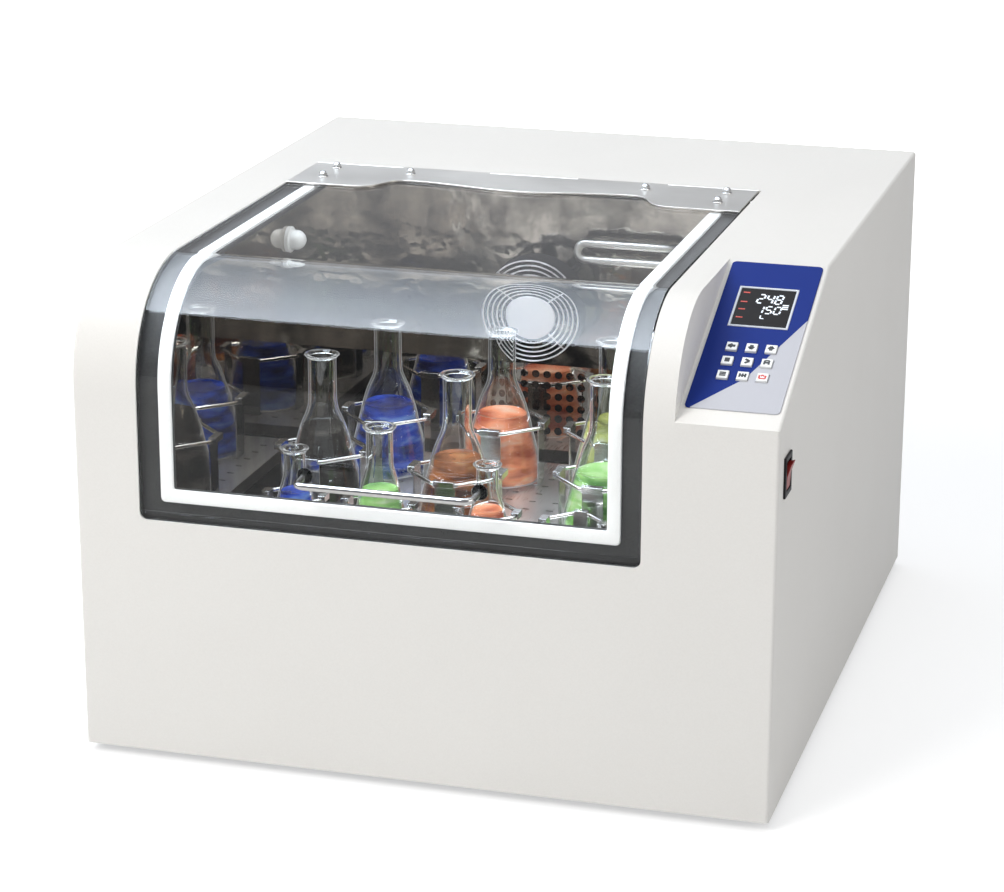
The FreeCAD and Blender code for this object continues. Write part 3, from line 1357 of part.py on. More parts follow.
def belt_wire(offset):
    """The line round both pulleys at a distance from their rims, seen from above."""
    big = float(d.driven_radius) + offset
    small = float(d.motor_pulley_radius) + offset
    span = float(d.motor_back - d.crank_back)
    lean = math.asin((big - small) / span)
    across, near, far = float(d.crank_across), float(d.crank_back), float(d.motor_back)
    c, s = math.cos(lean), math.sin(lean)
    p1, p2 = V(across + big * c, near + big * s, 0), V(across + small * c, far + small * s, 0)
    p3, p4 = V(across - small * c, far + small * s, 0), V(across - big * c, near + big * s, 0)
    return Part.Wire([
        Part.makeLine(p1, p2),
        Part.Arc(p2, V(across, far + small, 0), p3).toShape(),
        Part.makeLine(p3, p4),
        Part.Arc(p4, V(across, near - big, 0), p1).toShape(),
    ])


def drive_belt():
    inner = float(d.belt_play)
    face = Part.makeFace([belt_wire(inner + float(d.belt_thickness)), belt_wire(inner)],
                         "Part::FaceMakerBullseye")
    level = d.pulley_level + (d.pulley_height - d.belt_width) / 2
    face.translate(V(0, 0, float(level)))
    finish(shape_feature("belt", face.extrude(V(0, 0, float(d.belt_width)))), "drive_belt")


# Platform

def platform_carrier():
    """The plate above the cranks, with four windows, and the posts that hold the tray."""
    left = tray_across - d.carrier_width / 2
    front = d.tray_middle - d.carrier_depth / 2
    low = carrier_top - d.carrier_thickness
    body = new_body("carrier_body")
    face = new_sketch(body, "carrier_outline", "XY", low)
    rectangle(face, (left, front), (left + d.carrier_width, front + d.carrier_depth))
    for across, back in crank_places:
        circle(face, across + d.eccentric, back, d.pin_radius + d.running_play)
    rib = d.carrier_window
    for x in (left + rib, tray_across + rib / 2):
        rectangle(face, (x, d.tray_middle - rib), (x + d.carrier_width / 2 - 2 * rib, d.tray_middle + rib))
    pad(body, face, d.carrier_thickness, "carrier_plate")
    posts = []
    inset = 2 * d.carrier_post
    for x in (left + inset, left + d.carrier_width - inset):
        for y in (front + inset, front + d.carrier_depth - inset):
            posts.append(prism(f"carrier_post_{len(posts)}", WIRE_SIDES, d.carrier_post,
                               d.tray_level - d.tray_wall - carrier_top, (x, y, carrier_top)))
    finish(fuse("carrier", [body] + posts), "platform_carrier")


def carrier_bearings():
    low = carrier_top - d.carrier_thickness - d.carrier_bearing_height
    bosses = [bored_boss(f"carrier_bearing_{i}", d.bearing_radius, d.pin_radius + d.running_play,
                         d.carrier_bearing_height, (across + d.eccentric, back, low))
              for i, (across, back) in enumerate(crank_places)]
    finish(group("carrier_bearing_set", bosses), "carrier_bearings")


def platform_tray():
    """A folded tray: a slotted top with rounded corners and a rim turned down."""
    length, width = float(d.tray_width), float(d.tray_depth)
    wall = float(d.tray_wall)
    slots = []
    long_slot, short_slot = float(d.slot_length) / 2, float(d.slot_width) / 2
    for column in range(SLOT_COLUMNS):
        for line in range(SLOT_ROWS):
            x = length / 2 + (column - (SLOT_COLUMNS - 1) / 2) * float(d.slot_pitch_across)
            y = width / 2 + (line - (SLOT_ROWS - 1) / 2) * float(d.slot_pitch_back)
            corners = [V(x - long_slot, y - short_slot, 0), V(x + long_slot, y - short_slot, 0),
                       V(x + long_slot, y + short_slot, 0), V(x - long_slot, y + short_slot, 0)]
            slots.append(Part.makePolygon(corners + corners[:1]))
    corner = float(d.tray_corner)
    outer = rounded_wire(0, 0, length, width, corner)
    inner = rounded_wire(wall, wall, length - wall, width - wall, corner - wall)
    top = Part.makeFace([outer] + slots, "Part::FaceMakerBullseye").extrude(V(0, 0, wall))
    rim = Part.makeFace([outer, inner], "Part::FaceMakerBullseye").extrude(V(0, 0, -float(d.tray_flange)))
    shape = top.fuse(rim).removeSplitter()
    shape.translate(V(float(tray_left), float(tray_front), float(d.tray_level) - wall))
    finish(shape_feature("tray", shape), "platform_tray")


def clamp_frame(ring_radius, ring_height):
    """Crossed base straps, and four arms that hook over the clamp's ring."""
    wall = float(d.clamp_sheet)
    wire = float(d.clamp_wire)
    width = ring_radius * ARM_WIDTH_SHARE
    half = width / 2
    inside = ring_radius - wire - wall
    outside = ring_radius + wire
    top = ring_height + wire
    strap = Part.makeBox(2 * inside, width, wall, V(-inside, -half, 0))
    shape = strap.copy()
    strap.rotate(V(), V(0, 0, 1), 90)
    profile = [(inside, 0), (inside + wall, 0), (inside + wall, top), (outside, top),
               (outside, ring_height - wire), (outside + wall, ring_height - wire),
               (outside + wall, top + wall), (inside, top + wall), (inside, 0)]
    arms = []
    for i in range(4):
        wire_loop = Part.makePolygon([V(x, -half, z) for x, z in profile])
        arm = Part.Face(wire_loop).extrude(V(0, width, 0))
        arm.rotate(V(), V(0, 0, 1), 90 * i)
        arms.append(arm)
    return shape.multiFuse([strap] + arms).removeSplitter()


def clamp_ring(ring_radius, ring_height):
    """A round wire bent to eight sides: short ones in the hooks, long ones between them."""
    half = (ring_radius * ARM_WIDTH_SHARE + float(d.clamp_wire)) / 2
    reach = ring_radius
    corners = [V(reach, -half, ring_height), V(reach, half, ring_height),
               V(half, reach, ring_height), V(-half, reach, ring_height),
               V(-reach, half, ring_height), V(-reach, -half, ring_height),
               V(-half, -reach, ring_height), V(half, -reach, ring_height)]
    path = Part.makePolygon(corners + corners[:1])
    middle = (corners[0] + corners[1]) / 2
    shell = Part.BRepOffsetAPI.MakePipeShell(path)
    shell.setTransitionMode(1)
    profile = many_sided(WIRE_SIDES, float(d.clamp_wire) - NEAR, V())
    profile.rotate(V(), V(1, 0, 0), 90)
    profile.translate(middle)
    shell.add(profile)
    shell.build()
    shell.makeSolid()
    return shell.shape()


def flask(foot, height, neck):
    """A conical flask with what it holds: a rounded foot, a cone, a neck and a flared lip."""
    corner, flare = float(d.flask_foot_round), float(d.flask_lip)
    return turned([(foot - corner, 0), (foot, corner), (neck, height * FLASK_SHOULDER_SHARE),
                   (neck, height - float(d.flask_lip_height)), (neck + flare, height)], FLASK_SIDES)


def at_places(shape, places):
    """Copies of a shape on the tray. Places count in radii of a large clamp's ring."""
    unit_across = float(d.tray_width) / RINGS_ACROSS_SHARE
    unit_back = float(d.tray_depth) / RINGS_DEEP_SHARE
    copies = []
    for across, back in places:
        piece = shape.copy()
        piece.translate(V(float(tray_across) + across * unit_across,
                          float(d.tray_middle) + back * unit_back, float(d.tray_level)))
        copies.append(piece)
    return copies


def filled_clamps(kind, places):
    """The frames, rings and flasks of one kind."""
    radius, level = float(getattr(d, kind + "_ring")), float(getattr(d, kind + "_ring_height"))
    foot = radius - float(d.clamp_wire + d.clamp_sheet + d.clamp_play)
    vessel = flask(foot, float(getattr(d, kind + "_height")), float(getattr(d, kind + "_neck")))
    vessel.translate(V(0, 0, float(d.clamp_sheet + d.flask_seat)))
    return [at_places(shape, places)
            for shape in (clamp_frame(radius, level), clamp_ring(radius, level), vessel)]


def clamps_and_flasks():
    """A clamp with its ring and a flask at each place, and one clamp that stands empty."""
    large = filled_clamps("large", LARGE_PLACE_SHARES)
    middle = filled_clamps("middle", MIDDLE_PLACE_SHARES)
    small = filled_clamps("small", SMALL_PLACE_SHARES)
    frames, rings, _ = [a + b + c for a, b, c in zip(large, middle, small)]
    spare = float(d.small_ring), float(d.small_ring_height)
    for label, pieces in (
            ("spare_clamp_frame", at_places(clamp_frame(*spare), EMPTY_PLACE_SHARES)),
            ("spare_clamp_ring", at_places(clamp_ring(*spare), EMPTY_PLACE_SHARES)),
            ("flasks_large", large[-1]), ("flasks_small", middle[-1] + small[-1]),
            ("clamp_frames", frames), ("clamp_rings", rings)):
        finish(shape_feature(label + "_shapes", Part.makeCompound(pieces)), label)


def check(obj):
    """Stops the build where a sub-part failed or has no sound solid."""
    if any(word in obj.State for word in ("Invalid", "Error")):
        raise RuntimeError(f"{obj.Label} failed: {obj.State}")
    shape = obj.Shape
    if shape.isNull() or not shape.isValid() or not shape.Solids or shape.Volume <= 0:
        raise RuntimeError(f"{obj.Label} has no sound solid")


def main():
    for make in (
            housing_shell, base_pan, rear_panel, rear_screws, feet,
            seat_frame, lid_window, lid_gasket, hinge_plate, hinge_leaf, hinge_pin, dome_nuts,
            lid_handle, handle_washers,
            liner_sides, liner_front, liner_rear, chamber_floor, insulation, air_duct,
            fan_guard, fan_frame, fan_rotor, heating_tube, chamber_lamp,
            control_overlay, display, keys, control_board, rocker_bezel, rocker_button, power_inlet,
            drive_deck, crank_bearings, main_crank, idler_cranks, driven_pulley, counterweight,
            motor, motor_pulley, drive_belt,
            platform_carrier, carrier_bearings, platform_tray, clamps_and_flasks):
        make()
    doc.recompute()
    for obj in doc.Objects:
        if any(word in obj.State for word in ("Invalid", "Error")):
            raise RuntimeError(f"{obj.Label} failed: {obj.State}")
    for obj in finished:
        check(obj)
    os.makedirs("parts", exist_ok=True)
    for obj in finished:
        obj.Shape.exportStep(f"parts/{obj.Label}.step")
    total = Part.makeCompound([obj.Shape for obj in finished]).BoundBox
    print(len(finished), "sub-parts, overall", total)


main()
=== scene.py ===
# %% [markdown]
# # A benchtop incubator shaker, dressed for a studio picture
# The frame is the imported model: rigid nodes on named bodies, in metres, with +Z up.
# This file keeps that frame as it is and gives every visible piece its real surface.
# Each piece rides on the body that carries it, so the lid can open and the platform can orbit.

# %% Load the frame
import json
import math

import bmesh
import bpy
from mathutils import Matrix, Vector


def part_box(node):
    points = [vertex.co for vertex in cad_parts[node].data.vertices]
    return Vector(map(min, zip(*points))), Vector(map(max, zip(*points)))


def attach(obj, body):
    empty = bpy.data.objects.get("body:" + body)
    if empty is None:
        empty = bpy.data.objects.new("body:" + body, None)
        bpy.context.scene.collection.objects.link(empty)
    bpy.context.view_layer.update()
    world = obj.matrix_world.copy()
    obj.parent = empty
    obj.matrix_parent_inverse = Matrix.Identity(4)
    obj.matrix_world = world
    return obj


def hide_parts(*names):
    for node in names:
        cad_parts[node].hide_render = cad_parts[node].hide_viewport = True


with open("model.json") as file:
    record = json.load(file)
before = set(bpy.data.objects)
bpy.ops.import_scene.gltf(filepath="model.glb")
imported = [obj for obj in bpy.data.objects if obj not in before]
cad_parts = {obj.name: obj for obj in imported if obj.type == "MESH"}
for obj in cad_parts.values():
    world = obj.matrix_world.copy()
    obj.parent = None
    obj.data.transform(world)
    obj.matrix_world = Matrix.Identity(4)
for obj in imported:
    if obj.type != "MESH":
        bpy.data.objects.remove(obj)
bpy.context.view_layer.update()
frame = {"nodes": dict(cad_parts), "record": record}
nodes = frame["nodes"]

# %% [markdown]
# ## Measuring from the cabinet's corner
# The drawing of the shaker measures from the lower left front corner of the cabinet, in
# millimetres: X to the right, Y to the back, Z up. One helper turns such a place into a
# point of the frame. A second one does the same for the sloped console, where a place is
# (across, up the slope, out of the slope).

# %% Places
MM = 0.001
CORNER = Vector(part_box("housing_shell")[0])
HEIGHT = 420
FRONT_RADIUS = 97
CONSOLE_DEPTH, CONSOLE_DROP = 202, 85
SLOPE = math.atan2(CONSOLE_DROP, CONSOLE_DEPTH)


def at(x, y, z):
    return CORNER + Vector((x, y, z)) * MM


def on_slope(x, s, n):
    y = s * math.cos(SLOPE) - n * math.sin(SLOPE)
    z = HEIGHT - CONSOLE_DROP + s * math.sin(SLOPE) + n * math.cos(SLOPE)
    return at(x, y, z)


print("cabinet corner:", [round(v, 4) for v in CORNER])

# %% [markdown]
# ## Picture settings, camera and light
# The camera stands in front of the shaker, to its right and above it, with a long lens, as
# in a catalogue. The lens and the place come from the cabinet's own edges in the picture:
# with a box of known shape, its corners fix both.

# %% Camera
SENSOR_MM = 36.0
IMAGE_WIDTH = 1004
FOCAL_PIXELS = 3011.07
PITCH, YAW, ROLL = 0.307284, 0.279716, 0.002737
CAMERA_PLACE = (1010.86, -2218.73, 1035.43)
scene = bpy.context.scene
scene.view_settings.view_transform = "Standard"

camera_data = bpy.data.cameras.new("studio_camera")
camera_data.sensor_width = SENSOR_MM
camera_data.lens = FOCAL_PIXELS / IMAGE_WIDTH * SENSOR_MM
camera_data.clip_end = 50
camera = bpy.data.objects.new("studio_camera", camera_data)
scene.collection.objects.link(camera)
forward = Vector((-math.sin(YAW) * math.cos(PITCH), math.cos(YAW) * math.cos(PITCH), -math.sin(PITCH)))
right = Vector((math.cos(YAW), math.sin(YAW), 0))
up = right.cross(forward)
rolled_right = math.cos(ROLL) * right + math.sin(ROLL) * up
rolled_up = -math.sin(ROLL) * right + math.cos(ROLL) * up
axes = Matrix((rolled_right, rolled_up, -forward)).transposed()
camera.matrix_world = Matrix.Translation(at(*CAMERA_PLACE)) @ axes.to_4x4()
scene.camera = camera
print("lens:", round(camera_data.lens, 1), "mm")

# %% [markdown]
# ## Small helpers for node trees
# A socket takes either another node's socket or a plain value, so one helper tells them
# apart, and all others go through it. A material is built around one Principled shader and
# comes back with its tree, so that each finish below can add its own texture. Numbers that
# are the same all over the surface go straight onto the shader.

# %% Node helpers
def plug(tree, value, socket):
    """Links a socket to another one, or writes a plain value on it. None leaves it alone."""
    if isinstance(value, bpy.types.NodeSocket):
        tree.links.new(value, socket)
    elif isinstance(value, tuple) and len(value) < len(socket.default_value):
        socket.default_value = (*value, 1)
    elif value is not None:
        socket.default_value = value


def add_node(tree, kind, sockets=(), **settings):
    """Adds a node. Its sockets are named or numbered, with what goes into each."""
    node = tree.nodes.new(kind)
    for key, value in settings.items():
        setattr(node, key, value)
    for key, value in dict(sockets).items():
        plug(tree, value, node.inputs[key])
    return node


def set_shader(tree, shader, **sockets):
    for name, value in sockets.items():
        plug(tree, value, shader.inputs[name.replace("_", " ")])


def new_material(name, color, roughness=0.5, metallic=0.0, **plain):
    material = bpy.data.materials.new(name)
    material.use_nodes = True
    material.diffuse_color = (*color, 1)
    tree = material.node_tree
    shader = tree.nodes["Principled BSDF"]
    set_shader(tree, shader, Base_Color=color, Roughness=roughness, Metallic=metallic, **plain)
    return material, tree, shader


def maths(tree, operation, *values, clamp=False):
    """A Math node on sockets and numbers."""
    node = add_node(tree, "ShaderNodeMath", dict(enumerate(values)), operation=operation, use_clamp=clamp)
    return node.outputs[0]


def mix_colors(tree, factor, a, b, blend="MIX"):
    """Mixes two colours. Each one, and the factor, is a socket or a plain value."""
    node = add_node(tree, "ShaderNodeMix", data_type="RGBA", blend_type=blend)
    sockets = {socket.identifier: socket for socket in (*node.inputs, *node.outputs)}
    for identifier, value in (("Factor_Float", factor), ("A_Color", a), ("B_Color", b)):
        plug(tree, value, sockets[identifier])
    return sockets["Result_Color"]


def object_place(tree):
    return add_node(tree, "ShaderNodeTexCoord").outputs["Object"]


def object_axes(tree):
    """Object coordinates as three sockets named X, Y and Z."""
    return add_node(tree, "ShaderNodeSeparateXYZ", {0: object_place(tree)}).outputs


# %% [markdown]
# ## Floor, backdrop and lamps
# The real picture is cut out on white. A pale floor gets a little white of its own, but only
# where the camera, a mirror or a clear sheet looks at it, so it reads as plain white, keeps
# the soft contact shadow and sends no more light onto the object. Far from the object the
# camera sees it a little whiter still, which hides the floor's edge.

# %% Floor and world
FLOOR_SIZE = 14
NEAR_WHITE, FAR_WHITE = 0.3, 0.5
FAR_START, FAR_RISE = 1.0, 0.6
STRAIGHT_DEPTH = 3.5

floor_material, tree, shader = new_material("studio_floor", (0.62, 0.62, 0.62), 0.9)
path = add_node(tree, "ShaderNodeLightPath").outputs
looked_at = maths(tree, "MAXIMUM", path["Is Camera Ray"],
                  maths(tree, "MAXIMUM", path["Is Glossy Ray"], path["Is Transmission Ray"]))
distance = add_node(tree, "ShaderNodeVectorMath", {0: object_place(tree)}, operation="LENGTH")
beyond = maths(tree, "SUBTRACT", distance.outputs["Value"], FAR_START)
outside = maths(tree, "MULTIPLY", beyond, FAR_RISE, clamp=True)
near_white = maths(tree, "MULTIPLY", looked_at, NEAR_WHITE)
far_white = maths(tree, "MULTIPLY", path["Is Camera Ray"], maths(tree, "ADD", outside, FAR_WHITE))
white = add_node(tree, "ShaderNodeEmission",
                 {"Color": (1, 1, 1), "Strength": maths(tree, "MAXIMUM", near_white, far_white)})
adder = add_node(tree, "ShaderNodeAddShader", {0: shader.outputs[0], 1: white.outputs[0]})
plug(tree, adder.outputs[0], tree.nodes["Material Output"].inputs["Surface"])

bpy.ops.mesh.primitive_plane_add(size=FLOOR_SIZE, location=(0, 0, 0))
floor = bpy.context.object
floor.name = "studio_floor"
floor.data.materials.append(floor_material)

world = bpy.data.worlds.new("studio_world")
scene.world = world
world.use_nodes = True
tree = world.node_tree
background = tree.nodes["Background"]
plug(tree, (0.93, 0.95, 1.0), background.inputs["Color"])
plug(tree, 0.35, background.inputs["Strength"])
plain = add_node(tree, "ShaderNodeBackground", {"Color": (1, 1, 1), "Strength": 1.0})
path = add_node(tree, "ShaderNodeLightPath").outputs
through = maths(tree, "MULTIPLY", path["Is Transmission Ray"],
                maths(tree, "LESS_THAN", path["Ray Depth"], STRAIGHT_DEPTH))
seen = maths(tree, "MAXIMUM", path["Is Camera Ray"], through)
mixer = add_node(tree, "ShaderNodeMixShader", {0: seen, 1: background.outputs[0], 2: plain.outputs[0]})
plug(tree, mixer.outputs[0], tree.nodes["World Output"].inputs["Surface"])
print("floor and world made")


# %% Lamps
def soft_lamp(name, place, target, size, watts, color, in_mirrors=True):
    data = bpy.data.lights.new(name, "AREA")
    data.shape = "RECTANGLE"
    data.size, data.size_y = size
    data.energy, data.color = watts, color
    lamp = bpy.data.objects.new(name, data)
    scene.collection.objects.link(lamp)
    lamp.location = place
    lamp.rotation_euler = (Vector(target) - Vector(place)).to_track_quat("-Z", "Y").to_euler()
    lamp.visible_glossy = lamp.visible_transmission = in_mirrors


soft_lamp("key_lamp", (-1.6, -2.6, 2.4), (0, 0, 0.25), (1.8, 1.8), 93, (1.0, 0.985, 0.955), in_mirrors=False)
soft_lamp("top_lamp", (0.1, 0.5, 2.6), (0, 0, 0.3), (2.2, 1.6), 24, (0.92, 0.96, 1.0))
soft_lamp("side_lamp", (2.8, -0.6, 1.5), (0, 0, 0.25), (1.4, 1.4), 20, (1.0, 0.98, 0.94))

# %% [markdown]
# A pale ceiling card hangs over the set. Only mirrors and clear things see it: it lays the
# cool band across the bend of the clear lid, which is what tells the eye that a sheet is
# there. It is brightest along its front edge, so that the band ends in a crisp bright line,
# and it fades towards the rear, where the lid is seen at a flat angle and reflects more. The
# key lamp stays out of mirrors, because it would lay a second stripe under the first.

# %% Ceiling card
CARD_LOW, CARD_HIGH, CARD_POWER = 1.3, 24.0, 3.5
CARD_FRONT, CARD_REAR, CARD_LEVEL = -1.07, 3.3, 2.0
CARD_LEFT, CARD_RIGHT = -3.2, -0.15
CARD_FADE = 4.0

card_material, tree, shader = new_material("ceiling_card", (0.8, 0.85, 0.95), 0.9)
left = maths(tree, "SUBTRACT", CARD_FRONT + CARD_FADE, object_axes(tree)["Y"])
share = maths(tree, "DIVIDE", maths(tree, "MAXIMUM", left, 0.0), CARD_FADE)
fade = maths(tree, "MULTIPLY", maths(tree, "POWER", share, CARD_POWER), CARD_HIGH - CARD_LOW)
glow = add_node(tree, "ShaderNodeEmission",
                {"Color": (0.8, 0.89, 1.0), "Strength": maths(tree, "ADD", fade, CARD_LOW)})
plug(tree, glow.outputs[0], tree.nodes["Material Output"].inputs["Surface"])
mesh = bpy.data.meshes.new("ceiling_card")
sides = [(x, y, CARD_LEVEL) for x in (CARD_LEFT, CARD_RIGHT) for y in (CARD_FRONT, CARD_REAR)]
mesh.from_pydata(sides, [], [(1, 3, 2, 0)])
mesh.materials.append(card_material)
card = bpy.data.objects.new("ceiling_card", mesh)
scene.collection.objects.link(card)
card.visible_camera = card.visible_diffuse = card.visible_shadow = False
print("card made")

# %% [markdown]
# ## Shared surface effects
# Three effects come back on many finishes, so each one is a shader node group with named
# inputs: a fine grain for powder coat and moulded plastic, long brush lines for rolled
# steel, and the faint cloudy marks that hands and wiping leave on anything polished.

# %% Shader groups
def node_group(name, kind, inputs, outputs):
    """A node group, with its input node's outputs and its output node's inputs."""
    group = bpy.data.node_groups.new(name, kind)
    for in_out, sockets in (("INPUT", inputs), ("OUTPUT", outputs)):
        for socket, socket_kind, *value in sockets:
            made = group.interface.new_socket(socket, in_out=in_out, socket_type="NodeSocket" + socket_kind)
            if value:
                made.default_value = value[0]
    return group, group.nodes.new("NodeGroupInput").outputs, group.nodes.new("NodeGroupOutput").inputs


def noise(tree, vector, scale, detail=3.0, roughness=0.5):
    sockets = {"Vector": vector, "Scale": scale, "Detail": detail, "Roughness": roughness}
    return add_node(tree, "ShaderNodeTexNoise", sockets).outputs["Fac"]


def blended(tree, a, b, share):
    """Two textures added, the first with this share and the second with the rest."""
    return maths(tree, "ADD", maths(tree, "MULTIPLY", a, share), maths(tree, "MULTIPLY", b, 1 - share))


def low_to_high(tree, given, share):
    """A value between a group's inputs Low and High."""
    span = maths(tree, "SUBTRACT", given["High"], given["Low"])
    return maths(tree, "ADD", given["Low"], maths(tree, "MULTIPLY", span, share))


def make_grain():
    group, given, out = node_group(
        "fine_grain", "ShaderNodeTree",
        [("Scale", "Float", 900.0), ("Light", "Color", (1, 1, 1, 1)), ("Dark", "Color", (0.9, 0.9, 0.9, 1))],
        [("Color", "Color"), ("Height", "Float")])
    fine = noise(group, object_place(group), given["Scale"], 2.0)
    broad = noise(group, object_place(group), 6.0)
    spread = maths(group, "MULTIPLY_ADD", blended(group, fine, broad, 0.6), 2.2, -0.6, clamp=True)
    plug(group, mix_colors(group, spread, given["Dark"], given["Light"]), out["Color"])
    plug(group, fine, out["Height"])
    return group


def make_brushed():
    group, given, out = node_group(
        "brush_lines", "ShaderNodeTree",
        [("Stretch", "Vector", (30.0, 1500.0, 1500.0)), ("Low", "Float", 0.2), ("High", "Float", 0.4),
         ("Light", "Color", (1, 1, 1, 1)), ("Dark", "Color", (0.8, 0.8, 0.8, 1))],
        [("Color", "Color"), ("Roughness", "Float"), ("Height", "Float")])
    place = object_place(group)
    scaled = add_node(group, "ShaderNodeVectorMath", {0: place, 1: given["Stretch"]}, operation="MULTIPLY")
    lines = noise(group, scaled.outputs[0], 1.0, 2.0)
    cloud = noise(group, place, 9.0)
    spread = maths(group, "MULTIPLY_ADD", blended(group, lines, cloud, 0.5), 2.4, -0.7, clamp=True)
    plug(group, mix_colors(group, spread, given["Dark"], given["Light"]), out["Color"])
    plug(group, low_to_high(group, given, spread), out["Roughness"])
    plug(group, lines, out["Height"])
    return group


def make_marks():
    group, given, out = node_group(
        "wiped_marks", "ShaderNodeTree",
        [("Low", "Float", 0.05), ("High", "Float", 0.2), ("Scale", "Float", 14.0)],
        [("Roughness", "Float"), ("Mask", "Float")])
    cloud = noise(group, object_place(group), given["Scale"], 5.0, 0.62)
    mask = maths(group, "MULTIPLY_ADD", cloud, 3.0, -1.1, clamp=True)
    plug(group, low_to_high(group, given, mask), out["Roughness"])
    plug(group, mask, out["Mask"])
    return group


def use_group(tree, group, **values):
    return add_node(tree, "ShaderNodeGroup", values, node_tree=group).outputs


def add_bump(tree, shader, height, strength, distance):
    bump = add_node(tree, "ShaderNodeBump", {"Strength": strength, "Distance": distance, "Height": height})
    plug(tree, bump.outputs[0], shader.inputs["Normal"])


GRAIN, BRUSHED, MARKS = make_grain(), make_brushed(), make_marks()
print("groups:", [g.name for g in (GRAIN, BRUSHED, MARKS)])

# %% [markdown]
# ## The finishes
# Paint and moulded plastic share one recipe: two close tones spread by the grain, with the
# same grain as a shallow bump. Bare steel shares another: brush lines that change tone and
# roughness together. The look of each then comes down to a few numbers.

# %% Painted, moulded and steel finishes
# Width of the painted gap shadow along the outer sides and bottom of the lid's seat frame
PAINTED_GAP_SHADOW = 0.0045
GRAIN_DEPTH, BRUSH_DEPTH = 0.0002, 0.0001
MARKS_SCALE = 11.0


def seat_rubber():
    """Dark rubber, with a painted near-black gap shadow along the outer edge of the frame."""
    material, tree, shader = new_material("dark_seat_rubber", (0.05, 0.05, 0.05), 0.6)
    grain = use_group(tree, GRAIN, Scale=500.0, Light=(0.034, 0.034, 0.033), Dark=(0.008, 0.008, 0.008))
    low, high = (Vector(corner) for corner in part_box("lid_seat_frame"))
    across = object_axes(tree)
    # The outer sides and the bottom of the frame get a band of painted gap shadow, near black
    sideways = maths(tree, "ABSOLUTE", maths(tree, "SUBTRACT", across["X"], (low.x + high.x) / 2))
    beside = maths(tree, "GREATER_THAN", sideways, (high.x - low.x) / 2 - PAINTED_GAP_SHADOW)
    below = maths(tree, "LESS_THAN", across["Z"], low.z + PAINTED_GAP_SHADOW)
    edge = maths(tree, "MAXIMUM", beside, below)
    add_bump(tree, shader, grain["Height"], 0.5, GRAIN_DEPTH)
    marks = use_group(tree, MARKS, Low=0.55, High=0.7, Scale=MARKS_SCALE)
    set_shader(tree, shader, Base_Color=mix_colors(tree, edge, grain["Color"], (0.002, 0.002, 0.003)),
               Roughness=marks["Roughness"])
    return material


def grained(name, light, dark, roughness, scale=900.0, bump=0.15, **plain):
    material, tree, shader = new_material(name, light, roughness, **plain)
    grain = use_group(tree, GRAIN, Scale=scale, Light=light, Dark=dark)
    add_bump(tree, shader, grain["Height"], bump, GRAIN_DEPTH)
    marks = use_group(tree, MARKS, Low=roughness, High=min(1.0, roughness + 0.12), Scale=MARKS_SCALE)
    set_shader(tree, shader, Base_Color=grain["Color"], Roughness=marks["Roughness"])
    return material


def brushed(name, light, dark, low, high, stretch=(30.0, 1500.0, 1500.0), bump=0.1):
    material, tree, shader = new_material(name, light, low, 1.0)
    lines = use_group(tree, BRUSHED, Stretch=stretch, Low=low, High=high, Light=light, Dark=dark)
    add_bump(tree, shader, lines["Height"], bump, BRUSH_DEPTH)
    set_shader(tree, shader, Base_Color=lines["Color"], Roughness=lines["Roughness"])
    return material


PAINT = grained("off_white_powder_coat", (0.81, 0.795, 0.765), (0.775, 0.76, 0.73), 0.5, 700.0, 0.12,
                Specular_IOR_Level=0.15)
PAN_PAINT = grained("zinc_coated_sheet", (0.42, 0.43, 0.44), (0.3, 0.31, 0.32), 0.45, 60.0, 0.1,
                    metallic=0.8)
FOOT_RUBBER = grained("foot_rubber", (0.03, 0.03, 0.03), (0.015, 0.015, 0.015), 0.75, 1200.0, 0.3)
GASKET = grained("white_silicone", (0.9, 0.9, 0.88), (0.85, 0.85, 0.83), 0.5, 400.0, 0.1)
BLACK_PLASTIC = grained("black_plastic", (0.016, 0.016, 0.018), (0.008, 0.008, 0.009), 0.4, 1500.0, 0.12,
                        Specular_IOR_Level=0.2)
DARK_SEAT = seat_rubber()
FOAM = grained("insulating_foam", (0.75, 0.7, 0.5), (0.6, 0.55, 0.38), 0.9, 300.0, 0.5)
MOTOR_PAINT = grained("motor_paint", (0.05, 0.055, 0.06), (0.03, 0.033, 0.036), 0.4, 500.0, 0.15)
DECK_PAINT = grained("deck_paint", (0.22, 0.23, 0.24), (0.16, 0.17, 0.18), 0.5, 500.0, 0.2)
BOARD_GREEN = grained("circuit_board", (0.03, 0.16, 0.06), (0.02, 0.1, 0.04), 0.4, 900.0, 0.1)
LAMP_WHITE = grained("milky_lamp_cover", (0.85, 0.85, 0.82), (0.78, 0.78, 0.75), 0.25, 300.0, 0.05)
KEY_WHITE = grained("key_cap_white", (0.83, 0.84, 0.83), (0.78, 0.79, 0.78), 0.3, 1500.0, 0.08)
SWITCH_RED = grained("switch_red", (0.3, 0.016, 0.012), (0.2, 0.01, 0.008), 0.3, 900.0, 0.06,
                     Specular_IOR_Level=0.3)
CAST = grained("cast_iron", (0.12, 0.12, 0.125), (0.07, 0.07, 0.075), 0.6, 300.0, 0.5, metallic=0.6)

